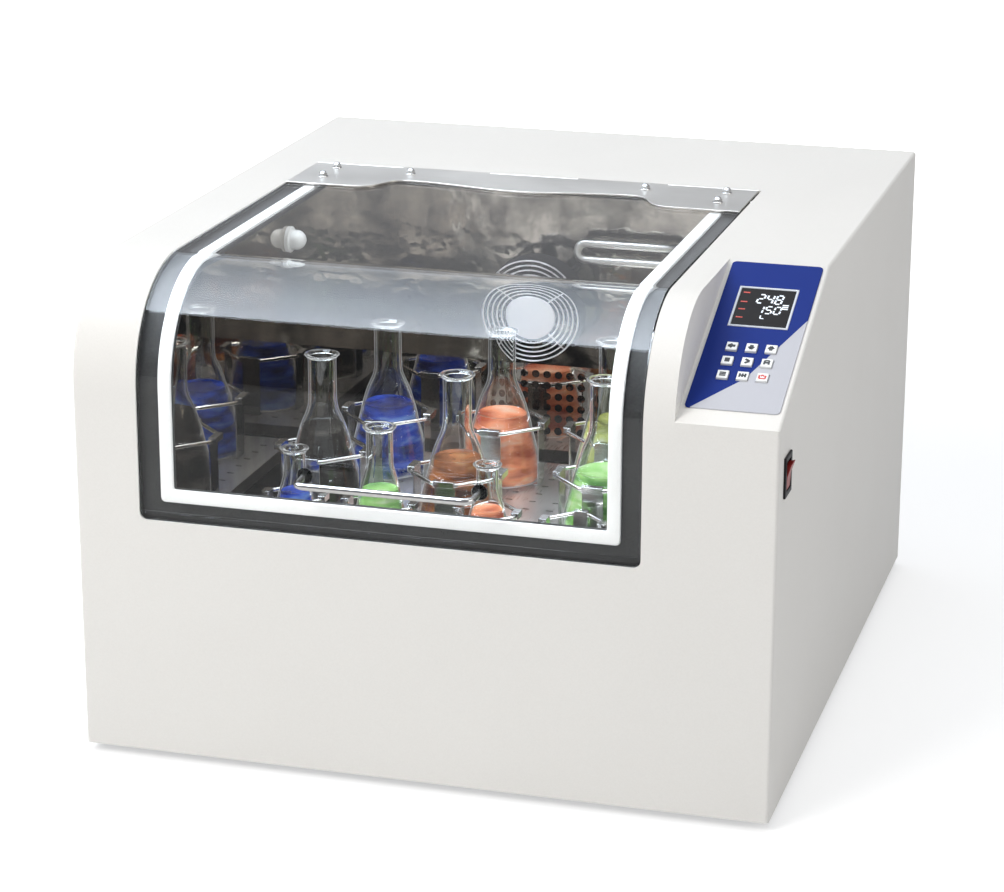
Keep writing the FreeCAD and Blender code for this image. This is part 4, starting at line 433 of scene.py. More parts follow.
ROD_GRAIN = (200.0, 200.0, 200.0)
HINGE_STEEL = brushed("satin_stainless", (0.75, 0.71, 0.66), (0.67, 0.635, 0.59), 0.3, 0.42)
BRIGHT_STEEL = brushed("bright_stainless", (0.8, 0.8, 0.8), (0.62, 0.62, 0.62), 0.1, 0.2)
TRAY_STEEL = brushed("rolled_tray_steel", (0.84, 0.83, 0.81), (0.62, 0.61, 0.59), 0.24, 0.42,
                     (1500.0, 40.0, 1500.0))
WIRE_STEEL = brushed("polished_wire", (0.85, 0.85, 0.85), (0.7, 0.7, 0.7), 0.06, 0.14, ROD_GRAIN, 0.05)
GUARD_STEEL = brushed("satin_guard_wire", (0.92, 0.9, 0.9), (0.78, 0.76, 0.77), 0.34, 0.5,
                      (300.0, 300.0, 300.0), 0.05)
TUBE_STEEL = brushed("satin_heater_tube", (0.9, 0.88, 0.84), (0.72, 0.7, 0.66), 0.26, 0.42,
                     (300.0, 900.0, 900.0), 0.05)
HANDLE_STEEL = brushed("satin_handle_rod", (0.6, 0.59, 0.58), (0.44, 0.43, 0.42), 0.12, 0.24,
                       ROD_GRAIN, 0.05)
ALUMINIUM = brushed("turned_aluminium", (0.72, 0.72, 0.73), (0.6, 0.6, 0.61), 0.25, 0.4,
                    (400.0, 400.0, 3000.0))
print("finishes so far:", len(bpy.data.materials))

# %% [markdown]
# The chamber is lined with bright rolled sheet. In the picture it works as a dull mirror: it
# shows the flasks again, softly broken up by shallow waves and cloudy stains. So its
# roughness is low but uneven, and a wide, weak bump bends the reflections.

# %% Chamber lining
def liner_finish(name, light, dark, low, high, scale, wave_scale, wave):
    material, tree, shader = new_material(name, light, low, 1.0)
    marks = use_group(tree, MARKS, Low=low, High=high, Scale=scale)
    stained = mix_colors(tree, marks["Mask"], light, dark)
    set_shader(tree, shader, Base_Color=stained, Roughness=marks["Roughness"])
    add_bump(tree, shader, noise(tree, object_place(tree), wave_scale, 2.0), wave, 0.002)
    return material


LINER = liner_finish("rolled_bright_liner", (0.6, 0.56, 0.51), (0.42, 0.38, 0.33), 0.01, 0.05,
                     16.0, 14.0, 0.07)
REAR_LINER = liner_finish("stained_rear_liner", (0.46, 0.425, 0.375), (0.07, 0.06, 0.05), 0.06, 0.24,
                          26.0, 45.0, 0.55)
print("chamber lining ready")

# %% [markdown]
# Clear plastic and glass are one shader with full transmission. A ray that only asks how
# much light reaches a surface can't be bent, so for shadow rays the surface turns mostly
# see-through by its alpha. Without that the chamber behind the lid would be dark.

# %% Clear finishes
def let_shadows_through(tree, shader, share):
    """Makes the surface see-through by this share for shadow rays alone."""
    shadow = add_node(tree, "ShaderNodeLightPath").outputs["Is Shadow Ray"]
    plug(tree, maths(tree, "SUBTRACT", 1.0, maths(tree, "MULTIPLY", shadow, share)), shader.inputs["Alpha"])


def clear(name, color, roughness, ior, shadow, marks_high):
    material, tree, shader = new_material(name, color, roughness, IOR=ior, Transmission_Weight=1.0)
    let_shadows_through(tree, shader, shadow)
    marks = use_group(tree, MARKS, Low=roughness, High=marks_high, Scale=20.0)
    plug(tree, marks["Roughness"], shader.inputs["Roughness"])
    return material


def painted_edge_glow(material, color, sharpness):
    """A painted highlight: a faint pale glow where the surface turns away from the eye, along the edges of
    glass and clear plastic.
    """
    tree = material.node_tree
    turned = add_node(tree, "ShaderNodeLayerWeight", {"Blend": 0.5})
    edge = maths(tree, "POWER", turned.outputs["Facing"], sharpness)
    set_shader(tree, tree.nodes["Principled BSDF"], Emission_Color=mix_colors(tree, edge, (0, 0, 0), color),
               Emission_Strength=1.0)
    return material


LID_ACRYLIC = clear("clear_acrylic", (0.99, 0.992, 0.99), 0.0, 1.28, 1.0, 0.01)
# Flask glass and the clear washers get a painted edge highlight that glows faintly
GLASS = painted_edge_glow(clear("flask_glass", (0.97, 0.99, 0.98), 0.0, 1.5, 0.97, 0.01), (0.5, 0.52, 0.53), 5.0)
WASHER_PLASTIC = painted_edge_glow(clear("clear_washer", (0.95, 0.96, 0.96), 0.05, 1.3, 0.9, 0.1),
                              (0.2, 0.2, 0.2), 3.0)
print("clear finishes ready")

# %% [markdown]
# ## Keeping the drawn shapes
# Many nodes are already right: folded sheet, plates and blocks. The drawing's mesh is loose
# triangles, so a copy is welded, its edges get a small round and its curved faces are
# shaded smooth. The copy then stands for the node on the same body.

# %% Copies of drawn nodes
BODY_OF = {n: body for body, members in frame["record"]["behaviour"]["bodies"].items() for n in members}
WELD = 0.00001


def finish_mesh(mesh, angle=30):
    mesh.shade_smooth()
    mesh.set_sharp_from_angle(angle=math.radians(angle))


def round_edges(piece, name, width, segments, angle, harden=False):
    bevel = piece.modifiers.new(name, "BEVEL")
    bevel.width = width * MM
    bevel.segments = segments
    bevel.limit_method = "ANGLE"
    bevel.angle_limit = math.radians(angle)
    bevel.harden_normals = harden


def add_object(name, mesh, material, body, replaced=()):
    """Puts a finished mesh on a body, with its material."""
    piece = bpy.data.objects.new(name, mesh)
    scene.collection.objects.link(piece)
    mesh.materials.clear()
    mesh.materials.append(material)
    if replaced:
        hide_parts(*replaced)
    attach(piece, body)
    return piece


def dressed(node, material, round_mm=0.0, segments=2):
    """A welded copy of a node, with rounded edges, in place of the node."""
    mesh = nodes[node].data.copy()
    mesh.name = node + "_dressed"
    work = bmesh.new()
    work.from_mesh(mesh)
    bmesh.ops.remove_doubles(work, verts=work.verts, dist=WELD)
    bmesh.ops.dissolve_limit(work, angle_limit=math.radians(0.5), verts=work.verts, edges=work.edges)
    work.to_mesh(mesh)
    work.free()
    for layer in list(mesh.attributes):
        if layer.name in ("custom_normal", "sharp_face"):
            mesh.attributes.remove(layer)
    finish_mesh(mesh)
    piece = add_object(node + "_dressed", mesh, material, BODY_OF[node], (node,))
    if round_mm:
        round_edges(piece, "rounding", round_mm, segments, angle=40, harden=True)
    weighted = piece.modifiers.new("even_shading", "WEIGHTED_NORMAL")
    weighted.keep_sharp = True
    return piece


DRESSED = {
    "housing_shell": (PAINT, 0.0), "rear_panel": (PAINT, 0.0), "base_pan": (PAN_PAINT, 0.0),
    "lid_seat_frame": (DARK_SEAT, 0.4), "hinge_plate": (HINGE_STEEL, 0.25),
    "hinge_leaf": (HINGE_STEEL, 0.2), "hinge_pin": (BRIGHT_STEEL, 0.0),
    "liner_sides": (LINER, 0.2), "liner_front": (LINER, 0.3), "liner_rear": (REAR_LINER, 0.0),
    "chamber_floor": (LINER, 0.0), "clamp_frames": (BRIGHT_STEEL, 0.2),
    "spare_clamp_frame": (BRIGHT_STEEL, 0.2), "rocker_bezel": (BLACK_PLASTIC, 0.6),
    "power_inlet": (BLACK_PLASTIC, 0.5), "fan_frame": (BLACK_PLASTIC, 0.3),
    "fan_rotor": (BLACK_PLASTIC, 0.3), "rubber_feet": (FOOT_RUBBER, 1.2),
    "handle_washers": (WASHER_PLASTIC, 0.3),
}
for node, (material, round_mm) in DRESSED.items():
    dressed(node, material, round_mm)
PAINTED = {
    "insulation_slabs": FOAM, "control_board": BOARD_GREEN, "drive_deck": DECK_PAINT, "crank_bearings": CAST,
    "carrier_bearings": CAST, "main_crank": BRIGHT_STEEL, "idler_crank_1": BRIGHT_STEEL,
    "idler_crank_2": BRIGHT_STEEL, "driven_pulley": ALUMINIUM, "motor_pulley": ALUMINIUM,
    "counterweight": CAST, "motor_body": MOTOR_PAINT, "drive_belt": FOOT_RUBBER,
    "platform_carrier": ALUMINIUM, "panel_screws": BRIGHT_STEEL,
}
for node, material in PAINTED.items():
    # The shape of these nodes is right as it is, and only the material changes
    nodes[node].data.materials.clear()
    nodes[node].data.materials.append(material)
print("dressed:", len(DRESSED), "painted:", len(PAINTED))

# %% [markdown]
# ## Turned and bent forms
# Flasks, domes and the lamp are turned shapes: a profile of (radius, height) pairs swept
# round an axis. Wires, the handle and the heating tube are bent rods: a round section
# carried along a path. Both are short mesh functions, used many times below.

# %% Lathe and rod
def lathe(profile, steps=48):
    """Vertices and faces of a profile turned about Z. A radius of 0 closes to one point."""
    verts, rings, faces = [], [], []
    for radius, height in profile:
        count = steps if radius else 1
        rings.append(range(len(verts), len(verts) + count))
        turns = [2 * math.pi * i / steps for i in range(count)]
        verts += [(radius * math.cos(t), radius * math.sin(t), height) for t in turns]
    for low, high in zip(rings, rings[1:]):
        for i in range(steps):
            j = (i + 1) % steps
            # Beside a ring of one point, two corners are the same, and three remain
            corners = low[i % len(low)], low[j % len(low)], high[j % len(high)], high[i % len(high)]
            faces.append(tuple(dict.fromkeys(corners)))
    return verts, faces


def arc(x, y, radius, start, sweep, steps):
    """(x, y) points on an arc about a centre in a plane. Both angles are in degrees."""
    turns = [math.radians(start + sweep * i / steps) for i in range(steps + 1)]
    return [(x + radius * math.cos(t), y + radius * math.sin(t)) for t in turns]


def mesh_from(name, verts, faces, angle=30):
    mesh = bpy.data.meshes.new(name)
    mesh.from_pydata([Vector(v) for v in verts], [], faces)
    work = bmesh.new()
    work.from_mesh(mesh)
    bmesh.ops.recalc_face_normals(work, faces=work.faces)
    work.to_mesh(mesh)
    work.free()
    finish_mesh(mesh, angle)
    return mesh


def rod(points, radius, sides=12, closed=False):
    """Vertices and faces of a round section carried along points, mitred at each one."""
    count = len(points)
    verts, faces = [], []
    normal = None
    for i, point in enumerate(points):
        before = points[i - 1] if i or closed else point
        after = points[(i + 1) % count] if i < count - 1 or closed else point
        a, b = (point - before).normalized(), (after - point).normalized()
        along = (a + b).normalized()
        normal = normal or along.orthogonal().normalized()
        normal = (normal - along * normal.dot(along)).normalized()
        side = along.cross(normal)
        stretch = 1 / max(0.5, math.sqrt((1 + a.dot(b)) / 2)) if a.length and b.length else 1.0
        bend = b - a
        for k in range(sides):
            turn = 2 * math.pi * k / sides
            offset = normal * math.cos(turn) + side * math.sin(turn)
            if bend.length > 1e-6:
                out = bend.normalized()
                offset = offset + out * (offset.dot(out) * (stretch - 1))
            verts.append(point + offset * radius)
    for i in range(count if closed else count - 1):
        j = (i + 1) % count
        shift = best_shift(verts, i * sides, j * sides, sides) if closed and j == 0 else 0
        for k in range(sides):
            m = (k + 1) % sides
            faces.append((i * sides + k, i * sides + m, j * sides + (m + shift) % sides,
                          j * sides + (k + shift) % sides))
    if not closed:
        faces.append(tuple(reversed(range(sides))))
        faces.append(tuple(range((count - 1) * sides, count * sides)))
    return verts, faces


def best_shift(verts, low, high, sides):
    """How far to turn the first ring so that the last one meets it without a twist."""
    return min(range(sides), key=lambda s: sum(
        (verts[low + k] - verts[high + (k + s) % sides]).length for k in range(sides)))


def gathered(groups):
    """Several (vertices, faces) groups as one."""
    verts, faces = [], []
    for more_verts, more_faces in groups:
        start = len(verts)
        verts.extend(more_verts)
        faces.extend(tuple(i + start for i in face) for face in more_faces)
    return verts, faces


def joined(name, groups, angle=30):
    return mesh_from(name, *gathered(groups), angle)


BOX_FACES = [(3, 2, 1, 0), (4, 5, 6, 7), (0, 1, 5, 4), (1, 2, 6, 5), (2, 3, 7, 6), (3, 0, 4, 7)]


def box_group(x1, y1, z1, x2, y2, z2):
    return [at(x, y, z) for z in (z1, z2) for x, y in ((x1, y1), (x2, y1), (x2, y2), (x1, y2))], BOX_FACES


def take_in(mesh, other, weld=False):
    """Adds a second mesh to the first one."""
    work = bmesh.new()
    work.from_mesh(mesh)
    work.from_mesh(other)
    if weld:
        bmesh.ops.remove_doubles(work, verts=work.verts, dist=WELD)
    work.to_mesh(mesh)
    work.free()
    finish_mesh(mesh, angle=40)


print("mesh helpers ready")

# %% [markdown]
# ## The lid
# The lid is one sheet of clear acrylic, 5 mm thick, bent over a quarter circle at the front
# of the top. Its lower corners are rounded. Rows of four points run along the bend, two on
# the outer face and two on the inner one, so the thickness stays even, and a fine bevel
# catches the light at its edges.

# %% Lid window
LID_LEFT, LID_RIGHT, LID_BOTTOM, LID_REAR, LID_THICK = 58, 488, 211, 452, 5
CORNER_RADIUS, CORNER_STEPS = 6, 6


def bent_profile(inset, low, rear, steps=40):
    """(y, z) pairs up the front, round the bend and back along the top, at an inset."""
    bend = arc(FRONT_RADIUS, HEIGHT - FRONT_RADIUS, FRONT_RADIUS - inset, 180, -90, steps)
    return [(inset, low), *bend, (rear, HEIGHT - inset)]


def lid_window():
    """Rows of four points, up the front and back along the top: left and right, outer and inner."""
    rows = []
    for i in reversed(range(CORNER_STEPS)):
        turn = math.pi / 2 * i / CORNER_STEPS
        level = LID_BOTTOM + CORNER_RADIUS * (1 - math.sin(turn))
        rows.append(((0, level), (LID_THICK, level), CORNER_RADIUS * (1 - math.cos(turn))))
    outer, inner = (bent_profile(inset, LID_BOTTOM + CORNER_RADIUS, LID_REAR) for inset in (0, LID_THICK))
    rows += [(*pair, 0) for pair in zip(outer, inner)]
    verts = [at(x, y, z) for outer, inner, narrow in rows for x in (LID_LEFT + narrow, LID_RIGHT - narrow)
             for y, z in (outer, inner)]
    faces = []
    last = len(verts) - 4
    for a in range(0, last, 4):
        b = a + 4
        faces += [(a, a + 2, b + 2, b), (a + 1, b + 1, b + 3, a + 3),
                  (a, b, b + 1, a + 1), (a + 2, a + 3, b + 3, b + 2)]
    faces += [(0, 1, 3, 2), (last, last + 2, last + 3, last + 1)]
    mesh = mesh_from("lid_window_clear", verts, faces, angle=35)
    piece = add_object("lid_window_clear", mesh, LID_ACRYLIC, "lid", ("lid_window",))
    round_edges(piece, "polished_edge", 0.5, 2, angle=50)
    return piece


print("lid faces:", len(lid_window().data.polygons))

# %% [markdown]
# The white gasket is a soft strip that follows the lid's own bend, a little inside its rim.
# So its path is drawn on the unrolled sheet, as (across, along), and a helper lays every
# point back onto the bend at a depth under the outer face.

# %% Gasket
STRAIGHT = HEIGHT - FRONT_RADIUS - LID_BOTTOM
BEND_LENGTH = math.pi / 2 * FRONT_RADIUS
GASKET_STRIP = dict(inset=16.5, rise=14.5, setback=9, width=11.5, top=5.4, thick=3.6, corner=4.0, inner=2.0,
                    soft=1.3)
ALONG_STEPS = 80


def on_lid(x, along, depth):
    if along < STRAIGHT:
        return at(x, depth, LID_BOTTOM + along)
    turn = (along - STRAIGHT) / FRONT_RADIUS
    if turn < math.pi / 2:
        reach = FRONT_RADIUS - depth
        return at(x, FRONT_RADIUS - reach * math.cos(turn), HEIGHT - FRONT_RADIUS + reach * math.sin(turn))
    return at(x, FRONT_RADIUS + along - STRAIGHT - BEND_LENGTH, HEIGHT - depth)


def strip_loop(x1, s1, x2, s2, corner):
    """Places round a rectangle with rounded corners: as many for every size of it."""
    x1, s1, x2, s2 = x1 + corner, s1 + corner, x2 - corner, s2 - corner
    corners = [arc(x, s, corner, start, 90, 4)
               for x, s, start in ((x2, s1, -90), (x2, s2, 0), (x1, s2, 90), (x1, s1, 180))]
    loop = []
    for i, points in enumerate(corners):
        (xa, sa), (xb, sb) = points[-1], corners[(i + 1) % 4][0]
        steps = ALONG_STEPS if i % 2 == 0 else 1
        shares = [k / steps for k in range(1, steps)]
        loop += points + [(xa + (xb - xa) * share, sa + (sb - sa) * share) for share in shares]
    return loop


def soft_section(width, thick, soft):
    """(inward, depth) pairs round a rectangle with rounded corners."""
    far, deep = width - soft, thick - soft
    corners = ((far, deep, 0), (soft, deep, 90), (soft, soft, 180), (far, soft, 270))
    return [point for x, y, start in corners for point in arc(x, y, soft, start, 90, 3)]


def lid_gasket():
    g = GASKET_STRIP
    rear = STRAIGHT + BEND_LENGTH + LID_REAR - FRONT_RADIUS
    x1, s1, x2, s2 = LID_LEFT + g["inset"], g["rise"], LID_RIGHT - g["inset"], rear - g["setback"]
    outer = strip_loop(x1, s1, x2, s2, g["corner"])
    wide = g["width"]
    inner = strip_loop(x1 + wide, s1 + wide, x2 - wide, s2 - wide, g["inner"])
    section = soft_section(wide, g["thick"], g["soft"])
    verts = [on_lid(x + (inner_x - x) * inward / wide, s + (inner_s - s) * inward / wide, g["top"] + depth)
             for (x, s), (inner_x, inner_s) in zip(outer, inner) for inward, depth in section]
    count, size = len(outer), len(section)
    faces = [(i * size + k, i * size + (k + 1) % size, (i + 1) % count * size + (k + 1) % size,
              (i + 1) % count * size + k) for i in range(count) for k in range(size)]
    mesh = mesh_from("lid_gasket_soft", verts, faces, angle=50)
    return add_object("lid_gasket_soft", mesh, GASKET, "lid", ("lid_gasket",))


print("gasket faces:", len(lid_gasket().data.polygons))

# %% [markdown]
# The handle is a 6 mm rod bent to a U. Its two bends are quarter circles, so the path is
# written as straight ends with arc points between them.

# %% Handle
HANDLE_LEFT, HANDLE_SPAN, HANDLE_LEVEL, HANDLE_OUT, HANDLE_BEND, HANDLE_RADIUS = 205, 150, 262, 28, 9, 3


def turn_points(centre, first, last, steps=8, end=math.pi / 2):
    """Points on a bend about a centre, from one direction to another, all in millimetres."""
    first, last = Vector(first) * MM, Vector(last) * MM
    angles = [end * i / steps for i in range(steps + 1)]
    return [at(*centre) + first * math.cos(t) + last * math.sin(t) for t in angles]


def handle_path():
    left, right = HANDLE_LEFT, HANDLE_LEFT + HANDLE_SPAN
    near, bend, level = HANDLE_OUT - HANDLE_BEND, HANDLE_BEND, HANDLE_LEVEL
    return [at(left, 0, level), *turn_points((left + bend, -near, level), (-bend, 0, 0), (0, -bend, 0)),
            *turn_points((right - bend, -near, level), (0, -bend, 0), (bend, 0, 0)), at(right, 0, level)]


def add_rod(name, path, radius, material, body, replaced):
    mesh = mesh_from(name, *rod(path, radius * MM, sides=24), angle=40)
    add_object(name, mesh, material, body, (replaced,))


add_rod("lid_handle_bent", handle_path(), HANDLE_RADIUS, HANDLE_STEEL, "lid", "lid_handle")
print("handle made")

# %% [markdown]
# ## Dome nuts on the hinge plate
# Six identical nuts sit on washers. The nut is built once and Geometry Nodes put a copy on
# each of six points, with its size as a named input. Realize Instances turns the copies
# into plain mesh at the end.

# %% Geometry Nodes helper
GEOMETRY = ("Geometry", "Geometry")


def geometry_tree(name, inputs):
    return node_group(name, "GeometryNodeTree", [GEOMETRY, *inputs], [GEOMETRY])


def on_points(tree, points, part, scale=None):
    """Puts a part on every point and makes the copies real."""
    sockets = {"Points": points, "Instance": part, "Scale": scale}
    return realized(tree, add_node(tree, "GeometryNodeInstanceOnPoints", sockets).outputs[0])


def realized(tree, geometry):
    return add_node(tree, "GeometryNodeRealizeInstances", {0: geometry}).outputs[0]


def geometry_of(tree, part):
    return add_node(tree, "GeometryNodeObjectInfo", {"Object": part}).outputs["Geometry"]


def end_tree(tree, result, material, out):
    sockets = {"Geometry": realized(tree, result), "Material": material}
    plug(tree, add_node(tree, "GeometryNodeSetMaterial", sockets).outputs[0], out["Geometry"])


def bake_tree(name, tree, values, part_mesh=None, places=()):
    """Runs a tree on these points, with a part to copy, and returns plain mesh data."""
    start = bpy.data.meshes.new(name + "_points")
    start.from_pydata([Vector(p) for p in places], [], [])
    helpers = [bpy.data.objects.new(name + "_holder", start)]
    if part_mesh:
        helpers.append(bpy.data.objects.new(name + "_part", part_mesh))
        values = dict(values, Part=helpers[-1])
    for helper in helpers:
        scene.collection.objects.link(helper)
    modifier = helpers[0].modifiers.new("nodes", "NODES")
    modifier.node_group = tree
    for item in tree.interface.items_tree:
        if item.in_out == "INPUT" and item.name in values:
            modifier[item.identifier] = values[item.name]
    depsgraph = bpy.context.evaluated_depsgraph_get()
    baked = bpy.data.meshes.new_from_object(helpers[0].evaluated_get(depsgraph), depsgraph=depsgraph)
    baked.name = name
    helpers[0].modifiers.remove(modifier)
    for helper in helpers:
        bpy.data.objects.remove(helper)
    print(name, "faces:", len(baked.polygons))
    return baked


def copies(name, part_mesh, places, material):
    """Baked copies of a mesh at several places."""
    tree, given, out = geometry_tree(name + "_tree", [("Part", "Object"), ("Size", "Float", 1.0)])
    end_tree(tree, on_points(tree, given["Geometry"], geometry_of(tree, given["Part"]), given["Size"]),
             material, out)
    baked = bake_tree(name, tree, {"Size": 1.0}, part_mesh, places)
    finish_mesh(baked)
    return baked


# %% Dome nuts
PLATE_TOP, PLATE_MIDDLE, PLATE_REAR = HEIGHT + 1.5, 273, 457.5
NUT_PLACES = [(PLATE_MIDDLE + side * reach, PLATE_REAR - back) for side in (-1, 1)
              for reach, back in ((189, 60), (189, 20), (113.5, 26))]


def dome_nut():
    washer = lathe([(0, 0), (4.6, 0), (4.6, 0.6), (4.3, 0.8), (0, 0.8)], 32)
    hexagon = lathe([(0, 0.8), (3.75, 0.8), (4.04, 1.1), (4.04, 3.5), (3.5, 3.8), (0, 3.8)], 6)
    round_top = [(x, 3.8 + z / 2) for x, z in arc(0, 0, 3.1, 0, 90, 7)[:-1]]
    dome = lathe([(0, 3.7), (3.1, 3.7), *round_top, (0, 5.35)], 32)
    mesh = joined("dome_nut", [washer, hexagon, dome])
    mesh.transform(Matrix.Scale(MM, 4))
    return mesh


nut_mesh = copies("dome_nuts_round", dome_nut(), [at(x, y, PLATE_TOP) for x, y in NUT_PLACES], WIRE_STEEL)
add_object("dome_nuts_round", nut_mesh, WIRE_STEEL, "lid", ("dome_nuts",))

# %% [markdown]
# ## Perforated and slotted sheet
# A perforated sheet is one small cell repeated: a square of sheet with a hole in it. The
# cell is drawn once as a ring of faces between the square and the hole, Geometry Nodes lay
# it out on a grid of points, and Merge by Distance welds the seams into one sheet.

# %% Cells
def flat_ring(name, walled, plain, thick, inwards=False):
    """Sheet between two loops of as many (x, y) points, with a wall along the first one."""
    count = len(walled)
    verts = [Vector((x, y, z)) * MM for z in (0, -thick) for loop in (walled, plain) for x, y in loop]
    faces = []
    for i in range(count):
        j = (i + 1) % count
        faces += [(i, j, count + j, count + i), (i, 2 * count + i, 2 * count + j, j),
                  (2 * count + i, 3 * count + i, 3 * count + j, 2 * count + j)]
    if inwards:
        faces = [(first, *reversed(others)) for first, *others in faces]
    mesh = bpy.data.meshes.new(name)
    mesh.from_pydata(verts, [], faces)
    return mesh


def cell_mesh(name, size, hole, thick):
    """A square of sheet with a hole: hole is a list of (x, y) points, anticlockwise."""
    half = size / 2
    rim = []
    for x, y in hole:
        reach = max(abs(x), abs(y)) / half
        rim.append((x / reach, y / reach))
    for corner in ((half, half), (-half, half), (-half, -half), (half, -half)):
        nearest = min(range(len(rim)), key=lambda i: math.dist(rim[i], corner))
        rim[nearest] = corner
    return flat_ring(name, hole, rim, thick, inwards=True)


def sheet_tree(name, material):
    tree, given, out = geometry_tree(name, [
        ("Part", "Object"), ("Columns", "Int", 9), ("Rows", "Int", 6), ("Pitch", "Float", 0.01)])
    sockets = {}
    for axis, count in (("X", "Columns"), ("Y", "Rows")):
        gaps = maths(tree, "SUBTRACT", given[count], 1)
        sockets["Vertices " + axis] = given[count]
        sockets["Size " + axis] = maths(tree, "MULTIPLY", gaps, given["Pitch"])
    grid = add_node(tree, "GeometryNodeMeshGrid", sockets).outputs["Mesh"]
    cells = on_points(tree, grid, geometry_of(tree, given["Part"]))
    weld = add_node(tree, "GeometryNodeMergeByDistance", {"Geometry": cells, "Distance": WELD})
    end_tree(tree, weld.outputs[0], material, out)
    return tree


def rectangle(half_x, half_y, x=0, y=0):
    """Corners of a rectangle about a middle, anticlockwise."""
    return [(x + i * half_x, y + j * half_y) for i, j in ((-1, -1), (1, -1), (1, 1), (-1, 1))]


def holed_sheet(name, hole, grid, outline, thick, place, material):
    """A grid of cells with a plain border out to the outline. Both are drawn about the grid's middle."""
    columns, rows, pitch = grid["columns"], grid["rows"], grid["pitch"]
    sheet = bake_tree(name, sheet_tree(name + "_tree", material),
                      {"Columns": columns, "Rows": rows, "Pitch": pitch * MM},
                      cell_mesh(name + "_cell", pitch, hole, thick))
    edge = rectangle(columns * pitch / 2, rows * pitch / 2)
    take_in(sheet, flat_ring(name + "_border", outline, edge, thick), weld=True)
    sheet.transform(place)
    return sheet


# %% [markdown]
# The air duct's grille is 9 by 6 round holes, in a plain panel. The tray of the platform has
# 15 by 13 short slots that take the clamps' screws. Both use the same cell-and-grid tree.

# %% Duct grille
def round_hole(radius, count=24):
    return arc(0, 0, radius, 180 / count, 360, count)[:-1]


DUCT = dict(left=84.3, right=461.7, low=120, high=258, front=392, back=438, sheet=1.2)
GRILLE = dict(left=250, low=193, columns=9, rows=6, pitch=11, hole=3.8)
UPRIGHT = Matrix.Rotation(math.pi / 2, 4, "X")


def duct_panel():
    d, g = DUCT, GRILLE
    x = g["left"] + (g["columns"] - 1) * g["pitch"] / 2
    z = g["low"] + (g["rows"] - 1) * g["pitch"] / 2
    outline = rectangle((d["right"] - d["left"]) / 2, (d["high"] - d["low"]) / 2,
                        (d["right"] + d["left"]) / 2 - x, (d["high"] + d["low"]) / 2 - z)
    mesh = holed_sheet("air_duct_panel", round_hole(g["hole"]), g, outline, d["sheet"],
                       Matrix.Translation(at(x, d["front"], z)) @ UPRIGHT, LINER)
    top = box_group(d["left"], d["front"] + d["sheet"], d["high"] - d["sheet"],
                    d["right"], d["back"], d["high"])
    take_in(mesh, joined("duct_top", [top]))
    add_object("air_duct_panel", mesh, LINER, "cabinet", ("air_duct",))


duct_panel()

# %% Platform tray
TRAY = dict(left=110, front=58, width=348, depth=314, top=168, wall=1.5, flange=10)
TRAY_CENTRE = (TRAY["left"] + TRAY["width"] / 2, TRAY["front"] + TRAY["depth"] / 2)
SLOT = dict(columns=15, rows=13, pitch=22, length=7, width=3)


def slot_hole(length, width, steps=6):
    """A slot with round ends."""
    reach = (length - width) / 2
    return arc(reach, 0, width / 2, -90, 180, steps) + arc(-reach, 0, width / 2, 90, 180, steps)


def tray():
    t, s = TRAY, SLOT
    wall = t["wall"]
    mesh = holed_sheet("platform_tray_slotted", slot_hole(s["length"], s["width"]), s,
                       rectangle(t["width"] / 2, t["depth"] / 2), wall,
                       Matrix.Translation(at(*TRAY_CENTRE, t["top"])), TRAY_STEEL)
    x1, y1, x2, y2 = t["left"], t["front"], t["left"] + t["width"], t["front"] + t["depth"]
    high = t["top"] - wall
    low = high - t["flange"]
    rim = [box_group(x1, y, low, x2, y + wall, high) for y in (y1, y2 - wall)]
    rim += [box_group(x, y1 + wall, low, x + wall, y2 - wall, high) for x in (x1, x2 - wall)]
    take_in(mesh, joined("tray_rim", rim))
    add_object("platform_tray_slotted", mesh, TRAY_STEEL, "platform", ("platform_tray",))


tray()

# %% [markdown]
# ## Clamps' rings
# A clamp holds a flask with a wire ring, bent to eight sides: four short ones sit in the
# arms' hooks and four long ones cross between them. The bends are small, so each corner is
# written as three points.

# %% Clamp rings
RING_UNIT = 39.7
# Places count in radii of a large ring: to the right of and behind the tray's centre
LARGE = [(-2.718, 2.373), (0, 2.451), (2.647, 2.317), (-3.252, -0.68), (0.096, -1.385), (3.252, -0.854)]
MIDDLE = [(-1.103, -3.149)]
SMALL = [(-3.2, -2.698), (1.134, -2.594)]
SPARE = [(3.094, -2.792)]
# Radius, height over the tray, and width of the arms
RINGS = {"large": (39.7, 56, 18.66), "middle": (29.7, 45, 13.96), "small": (25.69, 38, 12.07)}
WIRE = 1.9


def tray_spot(place):
    return TRAY_CENTRE[0] + place[0] * RING_UNIT, TRAY_CENTRE[1] + place[1] * RING_UNIT


def ring_path(x, y, kind):
    reach, level, tab = RINGS[kind]
    half = tab / 2 + 1
    z = TRAY["top"] + level
    corners = [Vector(c) for c in ((reach, -half), (reach, half), (half, reach), (-half, reach),
                                   (-reach, half), (-reach, -half), (-half, -reach), (half, -reach))]
    points = []
    for i, corner in enumerate(corners):
        before, after = corners[i - 1], corners[(i + 1) % 8]
        a, b = (before - corner).normalized() * 3, (after - corner).normalized() * 3
        for place in (corner + a, corner + (a + b) * 0.22, corner + b):
            points.append(at(x + place.x, y + place.y, z))
    return points


def clamp_rings(name, wanted, replaced):
    groups = []
    for kind, places in wanted:
        for place in places:
            x, y = tray_spot(place)
            groups.append(rod(ring_path(x, y, kind), WIRE * MM, sides=10, closed=True))
    add_object(name, joined(name, groups, angle=50), WIRE_STEEL, "platform", (replaced,))


clamp_rings("clamp_rings_round", (("large", LARGE), ("middle", MIDDLE), ("small", SMALL)), "clamp_rings")
clamp_rings("spare_ring_round", (("small", SPARE),), "spare_clamp_ring")
print("rings made")

